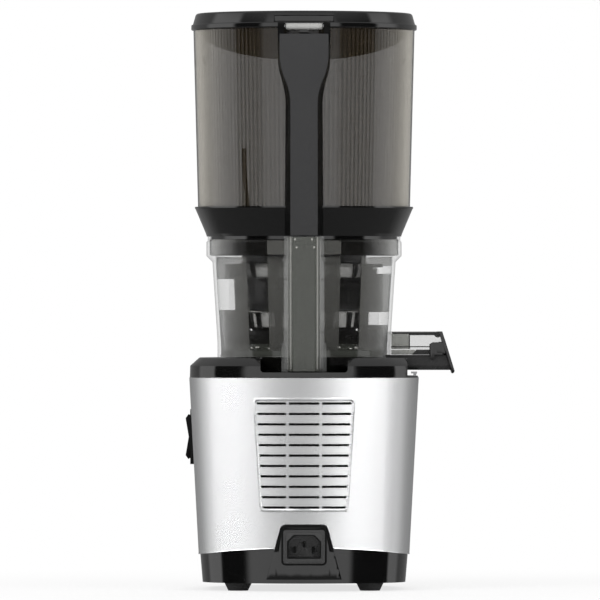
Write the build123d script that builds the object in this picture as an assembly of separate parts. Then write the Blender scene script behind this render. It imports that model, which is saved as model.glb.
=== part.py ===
from build123d import *
import math
import os

# Cold press juicer. Millimetres, +Z up, +Y towards the front where the juice leaves,
# +X towards the side where the pulp leaves. Everything is drawn about the drum's axis,
# and the last lines move it so that the origin is under the middle of the whole.

# ---------------------------------------------------------------- driving dimensions

# Motor base: plan and levels
HALF_WIDTH = 87.4            # steel housing at its top edge
BACK_REACH = 110.0           # drum axis to the back of the housing at its top edge
BACK_ARC_R = 123.0           # the gently bowed back
REAR_CORNER_R = 50.0
HOUSING_TAPER = 7.1          # each side comes in this much towards the bottom
HOUSING_TOP = 161.5
HOUSING_BOTTOM = 28.0
STEEL_WALL = 1.0
EDGE_RISE = 4.6              # the lower steel edge arches up this much in the middle
FOOT_HEIGHT = 6.0
FOOT_TOP_R = 10.5
FOOT_SOLE_R = 7.5
FOOT_X = 50.0
FOOT_BACK_Y = -72.0
FOOT_FRONT_Y = 46.0
TRAY_BOTTOM_INSET = 10.2
TRAY_TOP_INSET = 7.8
TRAY_FLOOR = 3.0
TRAY_OVERLAP = 2.0           # the tray reaches this far up behind the steel's edge
PLASTIC_WALL = 2.5
PLUG_R = 3.0                 # stem that holds each foot in the floor
SCREW_HEAD_R = 4.0
SCREW_HEAD_HEIGHT = 3.4
SCREW_SINK = 0.6
AIR_SLOTS = 7                # air inlets in the floor, under the fan
AIR_SLOT_PITCH = 9.0
AIR_SLOT_WIDTH = 4.0
AIR_SLOT_HALF = 24.0
TONGUE_TOP = 50.6            # black tongue that carries the power inlet
TONGUE_TOP_HALF = 17.0
TONGUE_FOOT_HALF = 22.0      # at the steel's lower edge
TONGUE_WALL = 3.5
TONGUE_CORNER_R = 4.0

# Top cover and the well that the drum sits in
COVER_SHOULDER = 170.5
COVER_TOP = 176.5
COVER_CHAMFER = 7.0
COVER_SETBACK = 0.4
COVER_LEAN = 0.3
WELL_GAP = 2.2
WELL_FLOOR = 163.0
WELL_FLOOR_THICK = 2.5
TOWER_R = 16.0
TOWER_TOP = 174.5
NOTCH_HALF = 33.0            # opening in the back for the drum's column
NOTCH_FLOOR = 165.7
NOTCH_CORNER_R = 2.5
CHUTE_SIDE_CUT = 78.5        # the cover's side is cut flat here under the pulp chute
CHUTE_SLOT_HALF = 25.0
LEDGE_THICK = 1.1

# Vents in the back
VENT_ROWS = 11
VENT_TOP = 142.3
VENT_PITCH = 7.87
VENT_HEIGHT = 1.8
VENT_MIDDLE_HALF = 11.5
VENT_SIDE_START = 13.6
VENT_SIDE_END_TOP = 35.8
VENT_SIDE_END_BOTTOM = 31.6
VENT_BORDER_TOP = 146.1      # raised border round the vents
VENT_BORDER_BOTTOM = 61.0
VENT_BORDER_TOP_HALF = 38.5
VENT_BORDER_BOTTOM_HALF = 33.5
VENT_BORDER_WIDTH = 1.3
VENT_BORDER_PROUD = 0.4

# Power inlet, the standard three-pin appliance socket
INLET_Z = 34.0
INLET_WIDTH = 31.9
INLET_HEIGHT = 25.8
INLET_DEPTH = 22.0
INLET_RECESS_WIDTH = 24.3
INLET_RECESS_HEIGHT = 16.6
INLET_RECESS_DEPTH = 17.0
INLET_BEVEL = 5.0
INLET_PROUD = 1.2
INLET_SEAT = 2.0             # width of the flange's seat round the hole
INLET_BODY_GAP = 0.3
INLET_CORNER_R = 2.0
PIN_WIDTH = 4.0
PIN_THICK = 2.0
PIN_SPACING = 14.0
PIN_EARTH_RISE = 4.0
PIN_DROP = 2.6
PIN_LENGTH = 15.0

# Rocker switch in the side of the housing
SWITCH_Y = -12.0
SWITCH_Z = 116.0
SWITCH_HEIGHT = 42.0
SWITCH_WIDTH = 25.0
SWITCH_DEPTH = 16.0
SWITCH_BORDER = 2.6
SWITCH_PROUD = 2.0
ROCKER_PROUD = 5.6
ROCKER_SAG = 2.4
ROCKER_END = 3.0             # length of each end's slope
ROCKER_END_DROP = 2.2
ROCKER_HEEL = 5.0            # the back is this much shorter at each end
ROCKER_BACK_DEPTH = 3.5
ROCKER_TIP_GAP = 1.2
ROCKER_SIDE_GAP = 0.5
ROCKER_PIVOT_DEPTH = 1.0
ROCKER_PIN_R = 1.2
SWITCH_BODY_STEP = 1.6       # the body behind the frame is this much smaller all round
SWITCH_BACK_WALL = 1.5
SWITCH_CORNER_R = 2.0
SWITCH_SEAT = 3.0            # the frame's edge reaches this far in, to meet the bowed steel
SWITCH_HOLE_GAP = 0.4

# Motor and gearbox
MOTOR_R = 40.0
MOTOR_WALL = 2.0
MOTOR_BOTTOM = 24.0
MOTOR_TOP = 90.0
STATOR_BOTTOM = 36.0
STATOR_TOP = 78.0
ROTOR_R = 24.0
AIR_GAP = 0.6
MOTOR_SHAFT_R = 4.0
FAN_R = 34.0
FAN_BOTTOM = 12.5
FAN_TOP = 21.0
FAN_BLADES = 7
FAN_HUB_R = 8.0
FAN_DISC_THICK = 1.2
FAN_BLADE_THICK = 1.6
CAN_VENTS = 6                # round vents in the can's lower end
CAN_VENT_R = 6.0
CAN_VENT_CENTRE_R = 24.8
STATOR_SLOTS = 8
STATOR_SLOT_DEPTH = 6.0
STATOR_SLOT_WIDTH = 5.0
STATOR_SLOT_CENTRE_R = 30.0
DRIVE_MODULE = 1.2
PINION_TEETH = 12
WHEEL_TEETH = 48
PRESSURE_ANGLE = 25.0
BACKLASH = 0.3
FIRST_STAGE_BOTTOM = 97.0
FIRST_STAGE_HEIGHT = 10.0
SECOND_STAGE_BOTTOM = 111.0
SECOND_STAGE_HEIGHT = 13.0
GEARBOX_FLOOR = 3.5
GEARBOX_WALL = 3.0
GEARBOX_LID = 4.0
GEAR_CLEAR = 2.5
POST_R = 5.0
POST_GAP = 2.0               # between the motor and the posts beside it
POST_SETBACK = 18.0
SHAFT_CLEAR = 1.0
WHEEL_BOSS_R = 7.0
BEARING_WALL = 3.0
GEAR_HOLES = 6
GEAR_HOLE_R = 4.5
GEAR_HOLE_CENTRE_R = 16.7
BEARING_R = 13.0
BEARING_HEIGHT = 7.0
WHEEL_PIN_R = 3.0
MOTOR_BEARING_HEIGHT = 3.0
MOTOR_BEARING_WALL = 3.0

# Circuit board, stood on edge beside the motor
BOARD_X = 62.0
BOARD_THICK = 1.6
BOARD_BACK = -36.0
BOARD_FRONT = 12.0
BOARD_BOTTOM = 14.0
BOARD_TOP = 72.0
BOARD_RAIL_INSET = 2.0
BOARD_RAIL_HALF = 4.0
BOARD_RAIL_GRIP = 8.0
CAPACITORS = ((-20.0, 50.0, 5.5, 9.0), (-2.0, 34.0, 4.0, 7.0))     # y, z, radius, height
BOARD_BOXES = ((-30.0, -14.0, 24.0, 38.0, 8.0), (-6.0, 8.0, 52.0, 64.0, 6.0))
HEAT_SINK = (-28.0, -6.0, 56.0, 68.0, 9.0)     # low and high y, low and high z, depth

# Drive shaft
SHAFT_R = 6.0
HEX_ACROSS_FLATS = 11.0
HEX_BOTTOM = 184.5
SHAFT_TOP = 205.0
SHAFT_CHAMFER = 0.8
SEAL_LIP_GAP = 0.1
SEAL_HEIGHT = 5.8
SEAL_PROUD = 0.8
SEAL_R = 11.0
RUN_FIT = 0.05

# Drum
DRUM_WALL = 2.4
DRUM_FOOT_R = 66.3
DRUM_TOP_R = 70.2
DRUM_FOOT_Z = 188.0
DRUM_TOP_Z = 249.7
COLLAR_R = 74.8
COLLAR_BOTTOM = 254.3
COLLAR_TOP = 265.8
DRUM_FLOOR_TOP = 181.5
DRUM_FLOOR_THICK = 3.0
SKIRT_BOTTOM = 163.4
DRUM_HUB_R = 19.0
SKIRT_WALL = 2.1
SKIRT_RIBS = 12
SKIRT_RIB_REACH = 9.0
SKIRT_RIB_THICK = 1.6
LUG_ANGLES = (0, 90, 180)    # bayonet lugs on the collar
LUG_SPAN = 22.0

# Column behind the drum, which guides the interlock rod
COLUMN_Y = -98.0
COLUMN_FACE_HALF = 8.6
COLUMN_HALF = 12.0
COLUMN_ROOT_HALF = 17.0
COLUMN_WALL = 2.2
COLUMN_FACE_STEP = 4.0
COLUMN_FLANK_END_Y = -82.0
COLUMN_ROOT_Y = -68.0
COLUMN_INNER_Y = -50.0
COLUMN_SHELVES = (195.0, 235.0)
COLUMN_BOTTOM = 166.1
COLUMN_TOP = 268.8
BACK_RIB_HALF = 26.5
BACK_RIB_THICK = 2.0

# Pulp chute
CHUTE_HALF = 24.0
CHUTE_WALL = 2.2
CHUTE_ROOF = 196.4
CHUTE_END_TOP_X = 103.0
CHUTE_END_LOW_X = 112.4
CHUTE_END_LOW_Z = 166.0
TROUGH_BOTTOM = 167.0
TROUGH_START_X = 20.5
TROUGH_SIDE_GAP = 0.3
TROUGH_TOP_GAP = 0.2
HOOD_CORNER_R = 4.0
HOOD_START_X = 30.0
HINGE_CUT_DEPTH = 6.0        # opening in the roof's end for the flap's knuckle
HINGE_CUT_REACH = 3.4
PULP_HOLE_OUTER_R = 40.0
PULP_HOLE_INNER_R = 22.0
PULP_HOLE_HALF = 14.0
CAP_THICK = 2.6
CAP_PIN_R = 1.0
CAP_KNUCKLE_R = 2.3
CAP_KNUCKLE_HALF = 17.0
CAP_GAP = 0.3
CAP_SIDE_GAP = 0.4
CAP_HINGE_SETBACK = 0.6
CAP_WEB = 2.6
CAP_LIP_R = 1.6
CAP_LIP_INSET = 4.0
CAP_ARM_THICK = 2.2
CAP_ARM = ((-5.8, -7.6), (-3.4, -6.1), (3.6, -6.1), (5.6, -14.1), (-0.8, -14.1), (-0.8, -10.6),
           (-2.8, -10.6), (-2.8, -19.1), (-5.8, -19.1))     # side arm about the hinge, X and Z
CAP_ARM_ROOT = ((-0.8, -6.6), (5.1, -6.6), (7.1, -14.1), (-0.8, -14.1))
BUNG_SIDE_GAP = 3.4
BUNG_FLOOR_GAP = 1.2
BUNG_TOP_GAP = 8.0
BUNG_DEPTH = 2.0

# Juice spout at the front
SPOUT_Z = 202.5
SPOUT_R = 13.0
SPOUT_BORE_R = 10.6
SPOUT_END_Y = 104.0
SPOUT_LEAN = 5.0
SPOUT_KNUCKLE_HALF = 6.0
SPOUT_EAR = 2.6
SPOUT_EAR_ROOT = 3.6
SPOUT_HINGE_SETBACK = 0.4
SPOUT_CAP_LIP = 0.6
SPOUT_TAB_HALF = 6.0
SPOUT_TAB_DROP = 7.0
SPOUT_TAB_ROOT = 3.0
PLUG_SIDE_GAP = 1.4
PLUG_DEPTH = 2.4

# Strainer
STRAINER_BOTTOM = 188.6
STRAINER_TOP = 255.0
STRAINER_LOW_R = 38.6        # outer radius at its bottom edge
STRAINER_HIGH_R = 47.8
STRAINER_WALL = 2.2
STRAINER_FLANGE_R = 49.7
STRAINER_FLANGE_TOP = 197.0
STRAINER_SKIRT_R = 48.2
STRAINER_WINDOWS = 12
WINDOW_RIB = 4.2
WINDOW_ROWS = ((199.5, 211.8), (237.6, 248.2))
MESH_THICK = 0.5
MESH_OVERLAP = 2.0
STRAINER_FLOOR = 3.0
STRAINER_SKIRT_WALL = 2.0
FLANGE_CHAMFER = 3.0

# Brush drive: auger pinion, idler and the brush's ring gear
BRUSH_MODULE = 2.0
AUGER_PINION_TEETH = 15
IDLER_TEETH = 18
BRUSH_GEAR_Z = 182.0
BRUSH_GEAR_HEIGHT = 5.0
IDLER_ANGLE = 180.0
IDLER_PIN_R = 3.0
IDLER_PIN_PROUD = 0.4
IDLER_BOSS_WALL = 2.0
IDLER_BOSS_DROP = 4.0
IDLER_BOSS_FLOOR = 1.0
BRUSH_RING_R = 60.0
BRUSH_R = 60.5
BRUSH_WALL = 2.0
BRUSH_TOP = 248.0
BRUSH_POSTS = 4
BRUSH_POST_SPAN = 34.0
CAGE_ROWS = ((191.0, 213.0), (217.0, 243.0))
WIPER_ANGLE = 12.0
WIPER_BOTTOM = 198.5
WIPER_TOP = 244.0
WIPER_THICK = 2.0
WIPER_GAP = 0.4

# Auger
AUGER_BOTTOM = 199.0
AUGER_TOP = 261.0
AUGER_CORE_LOW_R = 25.0
AUGER_CORE_HIGH_R = 13.0
AUGER_GAP = 1.0
FLIGHT_THICK = 8.0
FLIGHT_TURN = 250.0
AUGER_HUB_R = 11.0
AUGER_SEAL_R = 17.5
AUGER_RIM = 6.0              # foot disc round the core
AUGER_STEP = 0.8
AUGER_CAP_STEP = 4.0
HEX_CLEAR = 0.15
HUB_CLEAR = 0.4
BLADE_R = 47.5
BLADE_THICK = 3.0
BLADE_TOP = 337.0
BLADE_SPAN = 64.0
BLADE_ARM_TOP = 265.0
BLADE_ARM_HALF = 6.0
BLADE_TIP_HALF = 3.0
BLADE_SHOULDER_DROP = 34.0
BLADE_SHOULDER_HALF = 5.0

# Hopper
NECK_R = 71.3
NECK_BOTTOM = 254.7
FLANGE_BOTTOM = 269.2
FLANGE_R = 74.6
FUNNEL_TOP = 291.9
FUNNEL_R = 83.2
FUNNEL_LIP_R = 83.7
THROAT_R = 50.0
THROAT_BOTTOM = 257.2
THROAT_HEIGHT = 10.0
FUNNEL_LIP = 0.6
THROAT_FLARE = (2.0, 4.0)    # outward and up from the throat's top edge
THROAT_SHOULDER = 1.5
FUNNEL_UNDERSIDE = ((8.0, 6.5), (6.0, 8.0))     # in from the funnel's radius, down from its top
HOPPER_WALL = 2.2
HOPPER_LOW_R = 81.3
HOPPER_HIGH_R = 84.8
HOPPER_TOP = 426.8

# Spine on the back of the hopper
SPINE_Y = -98.0
SPINE_TOP = 422.0
SPINE_TOP_HALF = 18.4
SPINE_HALF = 10.0
SPINE_BEND_TOP = 407.0
SPINE_BEND_BOTTOM = 368.0
SPINE_ROOT_Y = -80.0
SPINE_ROOT_EXTRA_TOP = 1.8
SPINE_ROOT_EXTRA = 4.6
SPINE_COVER_THICK = 2.0
SPINE_CHANNEL_HALF = 5.0
SPINE_BOTTOM = 269.2
SPINE_WEBS = (300.0, 350.0, 400.0)
SPINE_WEB_THICK = 3.0
CHANNEL_PAST_ROD = 4.5
CHANNEL_TOP_WALL = 6.0
CAM_ROOM = 1.0
CAM_ROOM_REACH = 7.0
CAM_ROOM_DEPTH = 1.5

# Lid and its hinge
LID_GAP = 0.4
LID_RIM_R = 86.5
LID_RIM_TOP = 431.4
LID_SIDE_R = 85.1
LID_EDGE_R = 82.8
LID_TOP = 440.0
LID_WALL = 2.4
LID_RIM_CHAMFER = 0.8
LID_EDGE_CHAMFER = 1.4
LUG_WIDE = 3.0
LUG_STEP = 0.6
LUG_RISE = 2.0
LUG_BITE = 1.4               # how far the hinge lugs reach into the lid's side
LID_SKIRT_TOP_R = 81.4
LID_SKIRT_LOW_R = 80.4
LID_SKIRT_WALL = 1.8
LID_SKIRT_DEPTH = 21.0
HINGE_Y = -92.0
HINGE_Z = 427.6
HINGE_PIN_R = 1.5
HINGE_KNUCKLE_R = 4.4
HINGE_HALF = 19.9
HINGE_EAR = 5.0
HINGE_GAP = 0.35
CAM_R = 5.5
CAM_WIDTH = 7.0
CAM_BACK = 0.3               # the nose reaches back and forward of the hinge this much
CAM_FRONT = 2.4

# Interlock rods
ROD_R = 2.4
ROD_Y = -91.0
ROD_GAP = 0.4
ROD_RISE = 2.6
ROD_HOLE_CLEAR = 0.3
ROD_FOOT_GAP = 1.4           # lower end of the rod over the notch's floor
PLUNGER_STEP = 0.6
MICROSWITCH_HALF = 14.0
MICROSWITCH_THICK = 10.0
MICROSWITCH_HEIGHT = 16.0
MICROSWITCH_DROP = 0.5

# Release catch in the side under the chute
CATCH_HALF = 4.0
CATCH_SIDE_GAP = 0.6
CATCH_SLOT_BOTTOM = 146.0
CATCH_SLOT_TOP = 160.3
CATCH_PIVOT_Z = 148.5
CATCH_PIN_R = 1.0
CATCH_BUTTON_BOTTOM = 151.0
CATCH_BUTTON_TOP = 156.5
CATCH_HOOK_TOP = 165.6
CATCH_THICK = 2.4
CATCH_SINK = 0.8             # the lever stands this far behind the steel's face
CATCH_STEP = 0.6             # half of the step from the button to the arm
CATCH_FOOT = 1.2
CATCH_EYE_WALL = 1.1
CATCH_HOOK_REACH = 4.2
CATCH_HOOK_DEPTH = 1.4
CATCH_HOOK_TIP = 0.4
CATCH_NECK = 1.0
POCKET_WALL = 3.0
POCKET_DEPTH = 8.0
POCKET_BACK_WALL = 1.6

SEAM = 0.3                   # gap between pieces that meet without touching


# ---------------------------------------------------------------- shared shapes

def block(low, high):
    """Box between two opposite corners."""
    size = [high[i] - low[i] for i in range(3)]
    middle = [(high[i] + low[i]) / 2 for i in range(3)]
    return Pos(*middle) * Box(*size)


def turned(points):
    """Solid of revolution about the vertical axis from (radius, height) points."""
    return revolve(Plane.XZ * make_face(Polyline(*points, close=True)), Axis.Z)


def disc(radius, low, high, x=0.0, y=0.0):
    """Upright cylinder."""
    return Pos(x, y, (low + high) / 2) * Cylinder(radius, high - low)


def tube(outer, inner, low, high, x=0.0, y=0.0):
    """Upright hollow cylinder."""
    return disc(outer, low, high, x, y) - disc(inner, low, high, x, y)


def side_prism(points, low_y, high_y):
    """Extrusion along Y of an outline given in X and Z."""
    face = make_face(Polyline(*points, close=True))
    return extrude(Plane.XZ.offset(-high_y) * face, high_y - low_y)


def round_bar(start, end, radius):
    """Cylinder between two points."""
    start = Vector(*start)
    end = Vector(*end)
    along = end - start
    return extrude(Plane(origin=start, z_dir=along) * Circle(radius), along.length)


def housing_inset(z):
    """How far the housing's side stands in from its widest level."""
    return HOUSING_TAPER * (HOUSING_TOP - z) / (HOUSING_TOP - HOUSING_BOTTOM)


def base_plan(inset):
    """Plan of the base: bowed back, rounded rear corners, straight sides, round front."""
    half = HALF_WIDTH - inset
    corner = REAR_CORNER_R - inset
    arc = BACK_ARC_R - inset
    arc_y = BACK_ARC_R - BACK_REACH
    corner_x = HALF_WIDTH - REAR_CORNER_R
    corner_y = arc_y - math.sqrt((BACK_ARC_R - REAR_CORNER_R) ** 2 - corner_x ** 2)
    turn = math.atan2(arc_y - corner_y, corner_x)
    join = (arc * math.cos(turn), arc_y - arc * math.sin(turn))
    bend = (corner_x + corner * math.cos(turn / 2), corner_y - corner * math.sin(turn / 2))
    edges = [
        Line((half, 0), (half, corner_y)),
        ThreePointArc((half, corner_y), bend, join),
        ThreePointArc(join, (0, arc_y - arc), (-join[0], join[1])),
        ThreePointArc((-join[0], join[1]), (-bend[0], bend[1]), (-half, corner_y)),
        Line((-half, corner_y), (-half, 0)),
        ThreePointArc((-half, 0), (0, half), (half, 0)),
    ]
    return make_face(edges)


def base_solid(low, high, low_inset, high_inset):
    """Solid between two levels of the base's plan."""
    lower = Pos(0, 0, low) * base_plan(low_inset)
    upper = Pos(0, 0, high) * base_plan(high_inset)
    return loft([lower, upper], ruled=True)


def housing_solid(low, high, inward):
    """Solid that follows the housing's tapered sides, moved inward."""
    return base_solid(low, high, housing_inset(low) + inward, housing_inset(high) + inward)


def edge_arch(gap):
    """Everything under the arched lower edge of the steel, lowered by a gap."""
    radius = (HALF_WIDTH - HOUSING_TAPER) ** 2 / (2 * EDGE_RISE)
    top = HOUSING_BOTTOM + EDGE_RISE
    return Pos(0, 0, top - radius) * Rot(90, 0, 0) * Cylinder(radius - gap, 4 * BACK_REACH)


def tongue_prism(grow):
    """Outline of the inlet's tongue, run through the back of the base."""
    foot = FOOT_HEIGHT + TRAY_FLOOR
    slope = (TONGUE_FOOT_HALF - TONGUE_TOP_HALF) / (TONGUE_TOP - HOUSING_BOTTOM - EDGE_RISE)
    foot_half = TONGUE_TOP_HALF + slope * (TONGUE_TOP - foot) + grow
    top_half = TONGUE_TOP_HALF + grow
    top = TONGUE_TOP + grow
    face = make_face(Polyline((-foot_half, foot), (foot_half, foot), (top_half, top),
                              (-top_half, top), close=True))
    corners = face.vertices().sort_by(Axis.Y)[-2:]
    face = fillet(corners, TONGUE_CORNER_R + grow)
    return extrude(Plane.XZ.offset(BACK_REACH / 2) * face, BACK_REACH)


def gear_face(module, teeth, tip, root, phase, thinner, levels=2):
    """Spur gear outline on involute flanks; phase turns a tooth's centre, in degrees."""
    pitch_r = module * teeth / 2
    base_r = pitch_r * math.cos(math.radians(PRESSURE_ANGLE))

    def involute(radius):
        angle = math.acos(min(1.0, base_r / radius))
        return math.tan(angle) - angle

    def half_angle(radius):
        at_pitch = math.pi / (2 * teeth) - thinner / (2 * pitch_r)
        return at_pitch + involute(pitch_r) - involute(max(radius, base_r))

    points = []
    for tooth in range(teeth):
        centre = math.radians(phase) + 2 * math.pi * tooth / teeth
        radii = [root + (tip - root) * step / (levels - 1) for step in range(levels)]
        flank = [(radius, half_angle(radius)) for radius in radii]
        turns = [(radius, -half) for radius, half in flank]
        turns += [(radius, half) for radius, half in reversed(flank)]
        for radius, half in turns:
            points.append((radius * math.cos(centre + half), radius * math.sin(centre + half)))
    return make_face(Polyline(*points, close=True))


def spur_gear(module, teeth, low, height, phase, x=0.0, y=0.0):
    """Outside gear standing at a height."""
    pitch_r = module * teeth / 2
    face = gear_face(module, teeth, pitch_r + 0.9 * module, pitch_r - 1.2 * module, phase,
                     BACKLASH)
    return Pos(x, y, low) * extrude(face, height)


def polar(radius, angle):
    """Point at a radius and an angle in degrees."""
    return radius * math.cos(math.radians(angle)), radius * math.sin(math.radians(angle))


# Sizes that follow from the driving ones
WHEEL_AXIS = DRIVE_MODULE * (PINION_TEETH + WHEEL_TEETH) / 2      # motor to wheel shaft
WHEEL_R = DRIVE_MODULE * WHEEL_TEETH / 2
IDLER_AXIS = BRUSH_MODULE * (AUGER_PINION_TEETH + IDLER_TEETH) / 2
RING_TEETH = AUGER_PINION_TEETH + 2 * IDLER_TEETH
RING_PITCH_R = BRUSH_MODULE * RING_TEETH / 2
GEARBOX_BOTTOM = MOTOR_TOP
GEARBOX_TOP = SECOND_STAGE_BOTTOM + SECOND_STAGE_HEIGHT + GEAR_CLEAR
ROD_TOP = HINGE_Z - CAM_R - ROD_GAP
CAM_HUB_R = CAM_R - ROD_RISE - ROD_GAP       # leaves the rod room to rise when the lid is open


def drum_radius(z):
    """Outside of the drum's tapered wall at a height."""
    slope = (DRUM_TOP_R - DRUM_FOOT_R) / (DRUM_TOP_Z - DRUM_FOOT_Z)
    return DRUM_FOOT_R + slope * (z - DRUM_FOOT_Z)


def strainer_radius(z):
    """Outside of the strainer's cone at a height."""
    slope = (STRAINER_HIGH_R - STRAINER_LOW_R) / (STRAINER_TOP - STRAINER_BOTTOM)
    return STRAINER_LOW_R + slope * (z - STRAINER_BOTTOM)


def chute_end_x(z):
    """Slanted end of the pulp chute at a height."""
    slope = (CHUTE_END_TOP_X - CHUTE_END_LOW_X) / (CHUTE_ROOF - CHUTE_END_LOW_Z)
    return CHUTE_END_LOW_X + slope * (z - CHUTE_END_LOW_Z)


# ---------------------------------------------------------------- motor base

def foot_places():
    return [(side * FOOT_X, y) for y in (FOOT_BACK_Y, FOOT_FRONT_Y) for side in (-1, 1)]


def post_places():
    """Posts that carry the gearbox, beside the motor."""
    reach = MOTOR_R + POST_R + POST_GAP
    middle = WHEEL_AXIS / 2
    return [(side * reach, y) for y in (-middle - POST_SETBACK, middle) for side in (-1, 1)]


def make_rubber_feet():
    feet = []
    for x, y in foot_places():
        profile = [(0, 0), (FOOT_SOLE_R, 0), (FOOT_TOP_R, FOOT_HEIGHT), (PLUG_R, FOOT_HEIGHT),
                   (PLUG_R, FOOT_HEIGHT + TRAY_FLOOR), (0, FOOT_HEIGHT + TRAY_FLOOR)]
        feet.append(Pos(x, y, 0) * turned(profile))
    return feet


def make_lower_base():
    """Open tray with the gearbox posts, the board's rails and the floor's openings."""
    top = HOUSING_BOTTOM + EDGE_RISE + TRAY_OVERLAP
    floor = FOOT_HEIGHT + TRAY_FLOOR
    outer = base_solid(FOOT_HEIGHT, top, TRAY_BOTTOM_INSET, TRAY_TOP_INSET)
    inner = base_solid(floor, top + 1, TRAY_BOTTOM_INSET + PLASTIC_WALL,
                       TRAY_TOP_INSET + PLASTIC_WALL)
    tray = (outer - inner) & edge_arch(SEAM)
    tray -= tongue_prism(0)
    for x, y in post_places():
        tray += disc(POST_R, floor - 1, GEARBOX_BOTTOM, x, y)
    rail_ends = (BOARD_BACK + BOARD_RAIL_INSET, BOARD_FRONT - BOARD_RAIL_INSET)
    for y in rail_ends:
        rail = block((BOARD_X - BOARD_RAIL_HALF, y - BOARD_RAIL_INSET, floor - 1),
                     (BOARD_X + BOARD_RAIL_HALF, y + BOARD_RAIL_INSET,
                      BOARD_BOTTOM + BOARD_RAIL_GRIP))
        slot = block((BOARD_X - BOARD_THICK / 2, y - 2 * BOARD_RAIL_INSET, BOARD_BOTTOM),
                     (BOARD_X + BOARD_THICK / 2, y + 2 * BOARD_RAIL_INSET, BOARD_TOP))
        tray += rail - slot
    for x, y in foot_places():
        tray -= disc(PLUG_R, FOOT_HEIGHT - 1, floor, x, y)
    for number in range(AIR_SLOTS):
        x = (number - (AIR_SLOTS - 1) / 2) * AIR_SLOT_PITCH
        tray -= block((x - AIR_SLOT_WIDTH / 2, -AIR_SLOT_HALF, FOOT_HEIGHT - 1),
                      (x + AIR_SLOT_WIDTH / 2, AIR_SLOT_HALF, floor + 1))
    for x, y in post_places():
        tray -= disc(SCREW_HEAD_R + 0.5, FOOT_HEIGHT - 1, screw_top(), x, y)
    return tray


def make_inlet_tongue():
    """Part of the back wall that rises into the steel and carries the power inlet."""
    floor = FOOT_HEIGHT + TRAY_FLOOR
    wall = housing_solid(floor, TONGUE_TOP, 0)
    wall -= housing_solid(floor - 1, TONGUE_TOP + 1, TONGUE_WALL)
    wall &= tongue_prism(0)
    wall -= inlet_flange(-BACK_REACH - 2)
    half_width = INLET_WIDTH / 2 - INLET_SEAT
    half_height = INLET_HEIGHT / 2 - INLET_SEAT
    return wall - block((-half_width, -BACK_REACH, INLET_Z - half_height),
                        (half_width, -BACK_REACH / 2, INLET_Z + half_height))


def screw_top():
    return FOOT_HEIGHT + SCREW_SINK + SCREW_HEAD_HEIGHT


def make_base_screws():
    """Screws from below, up the posts into the gearbox."""
    screws = []
    for x, y in post_places():
        screws.append(disc(SCREW_HEAD_R, FOOT_HEIGHT + SCREW_SINK, screw_top(), x, y))
    return screws


def vent_slots():
    """Rows of slots through the back, shorter towards the bottom."""
    cutters = []
    for row in range(VENT_ROWS):
        z = VENT_TOP - row * VENT_PITCH
        share = row / (VENT_ROWS - 1)
        side_end = VENT_SIDE_END_TOP + share * (VENT_SIDE_END_BOTTOM - VENT_SIDE_END_TOP)
        spans = [(-side_end, -VENT_SIDE_START), (-VENT_MIDDLE_HALF, VENT_MIDDLE_HALF),
                 (VENT_SIDE_START, side_end)]
        for start, end in spans:
            slot = Pos((start + end) / 2, z) * Rectangle(end - start, VENT_HEIGHT)
            cutters.append(extrude(Plane.XZ.offset(BACK_REACH / 2) * slot, BACK_REACH))
    return cutters


def vent_border():
    """Pressed-up border round the vents, a trapezoid that follows the bowed back."""
    def trapezoid(inward):
        low = VENT_BORDER_BOTTOM + inward
        high = VENT_BORDER_TOP - inward
        low_half = VENT_BORDER_BOTTOM_HALF - inward
        high_half = VENT_BORDER_TOP_HALF - inward
        return make_face(Polyline((-low_half, low), (low_half, low), (high_half, high),
                                  (-high_half, high), close=True))

    ring = extrude(Plane.XZ.offset(BACK_REACH / 2) * (trapezoid(0) - trapezoid(VENT_BORDER_WIDTH)),
                   BACK_REACH)
    skin = housing_solid(HOUSING_BOTTOM, HOUSING_TOP, -VENT_BORDER_PROUD)
    skin -= housing_solid(HOUSING_BOTTOM - 1, HOUSING_TOP + 1, STEEL_WALL / 2)
    return ring & skin


def make_steel_housing():
    shell = housing_solid(HOUSING_BOTTOM - 4, HOUSING_TOP, 0)
    shell -= housing_solid(HOUSING_BOTTOM - 5, HOUSING_TOP + 1, STEEL_WALL)
    shell -= edge_arch(0)
    shell -= tongue_prism(SEAM)
    shell += vent_border()
    shell -= vent_slots()
    # switch hole
    margin = SWITCH_BODY_STEP - SWITCH_HOLE_GAP
    hole_half = (SWITCH_WIDTH / 2 - margin, SWITCH_HEIGHT / 2 - margin)
    shell -= block((-HALF_WIDTH - 5, SWITCH_Y - hole_half[0], SWITCH_Z - hole_half[1]),
                   (-HALF_WIDTH / 2, SWITCH_Y + hole_half[0], SWITCH_Z + hole_half[1]))
    # slot for the release catch
    slot_half = CATCH_HALF + CATCH_SIDE_GAP
    shell -= block((HALF_WIDTH / 2, -slot_half, CATCH_SLOT_BOTTOM),
                   (HALF_WIDTH + 5, slot_half, CATCH_SLOT_TOP))
    return shell


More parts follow.
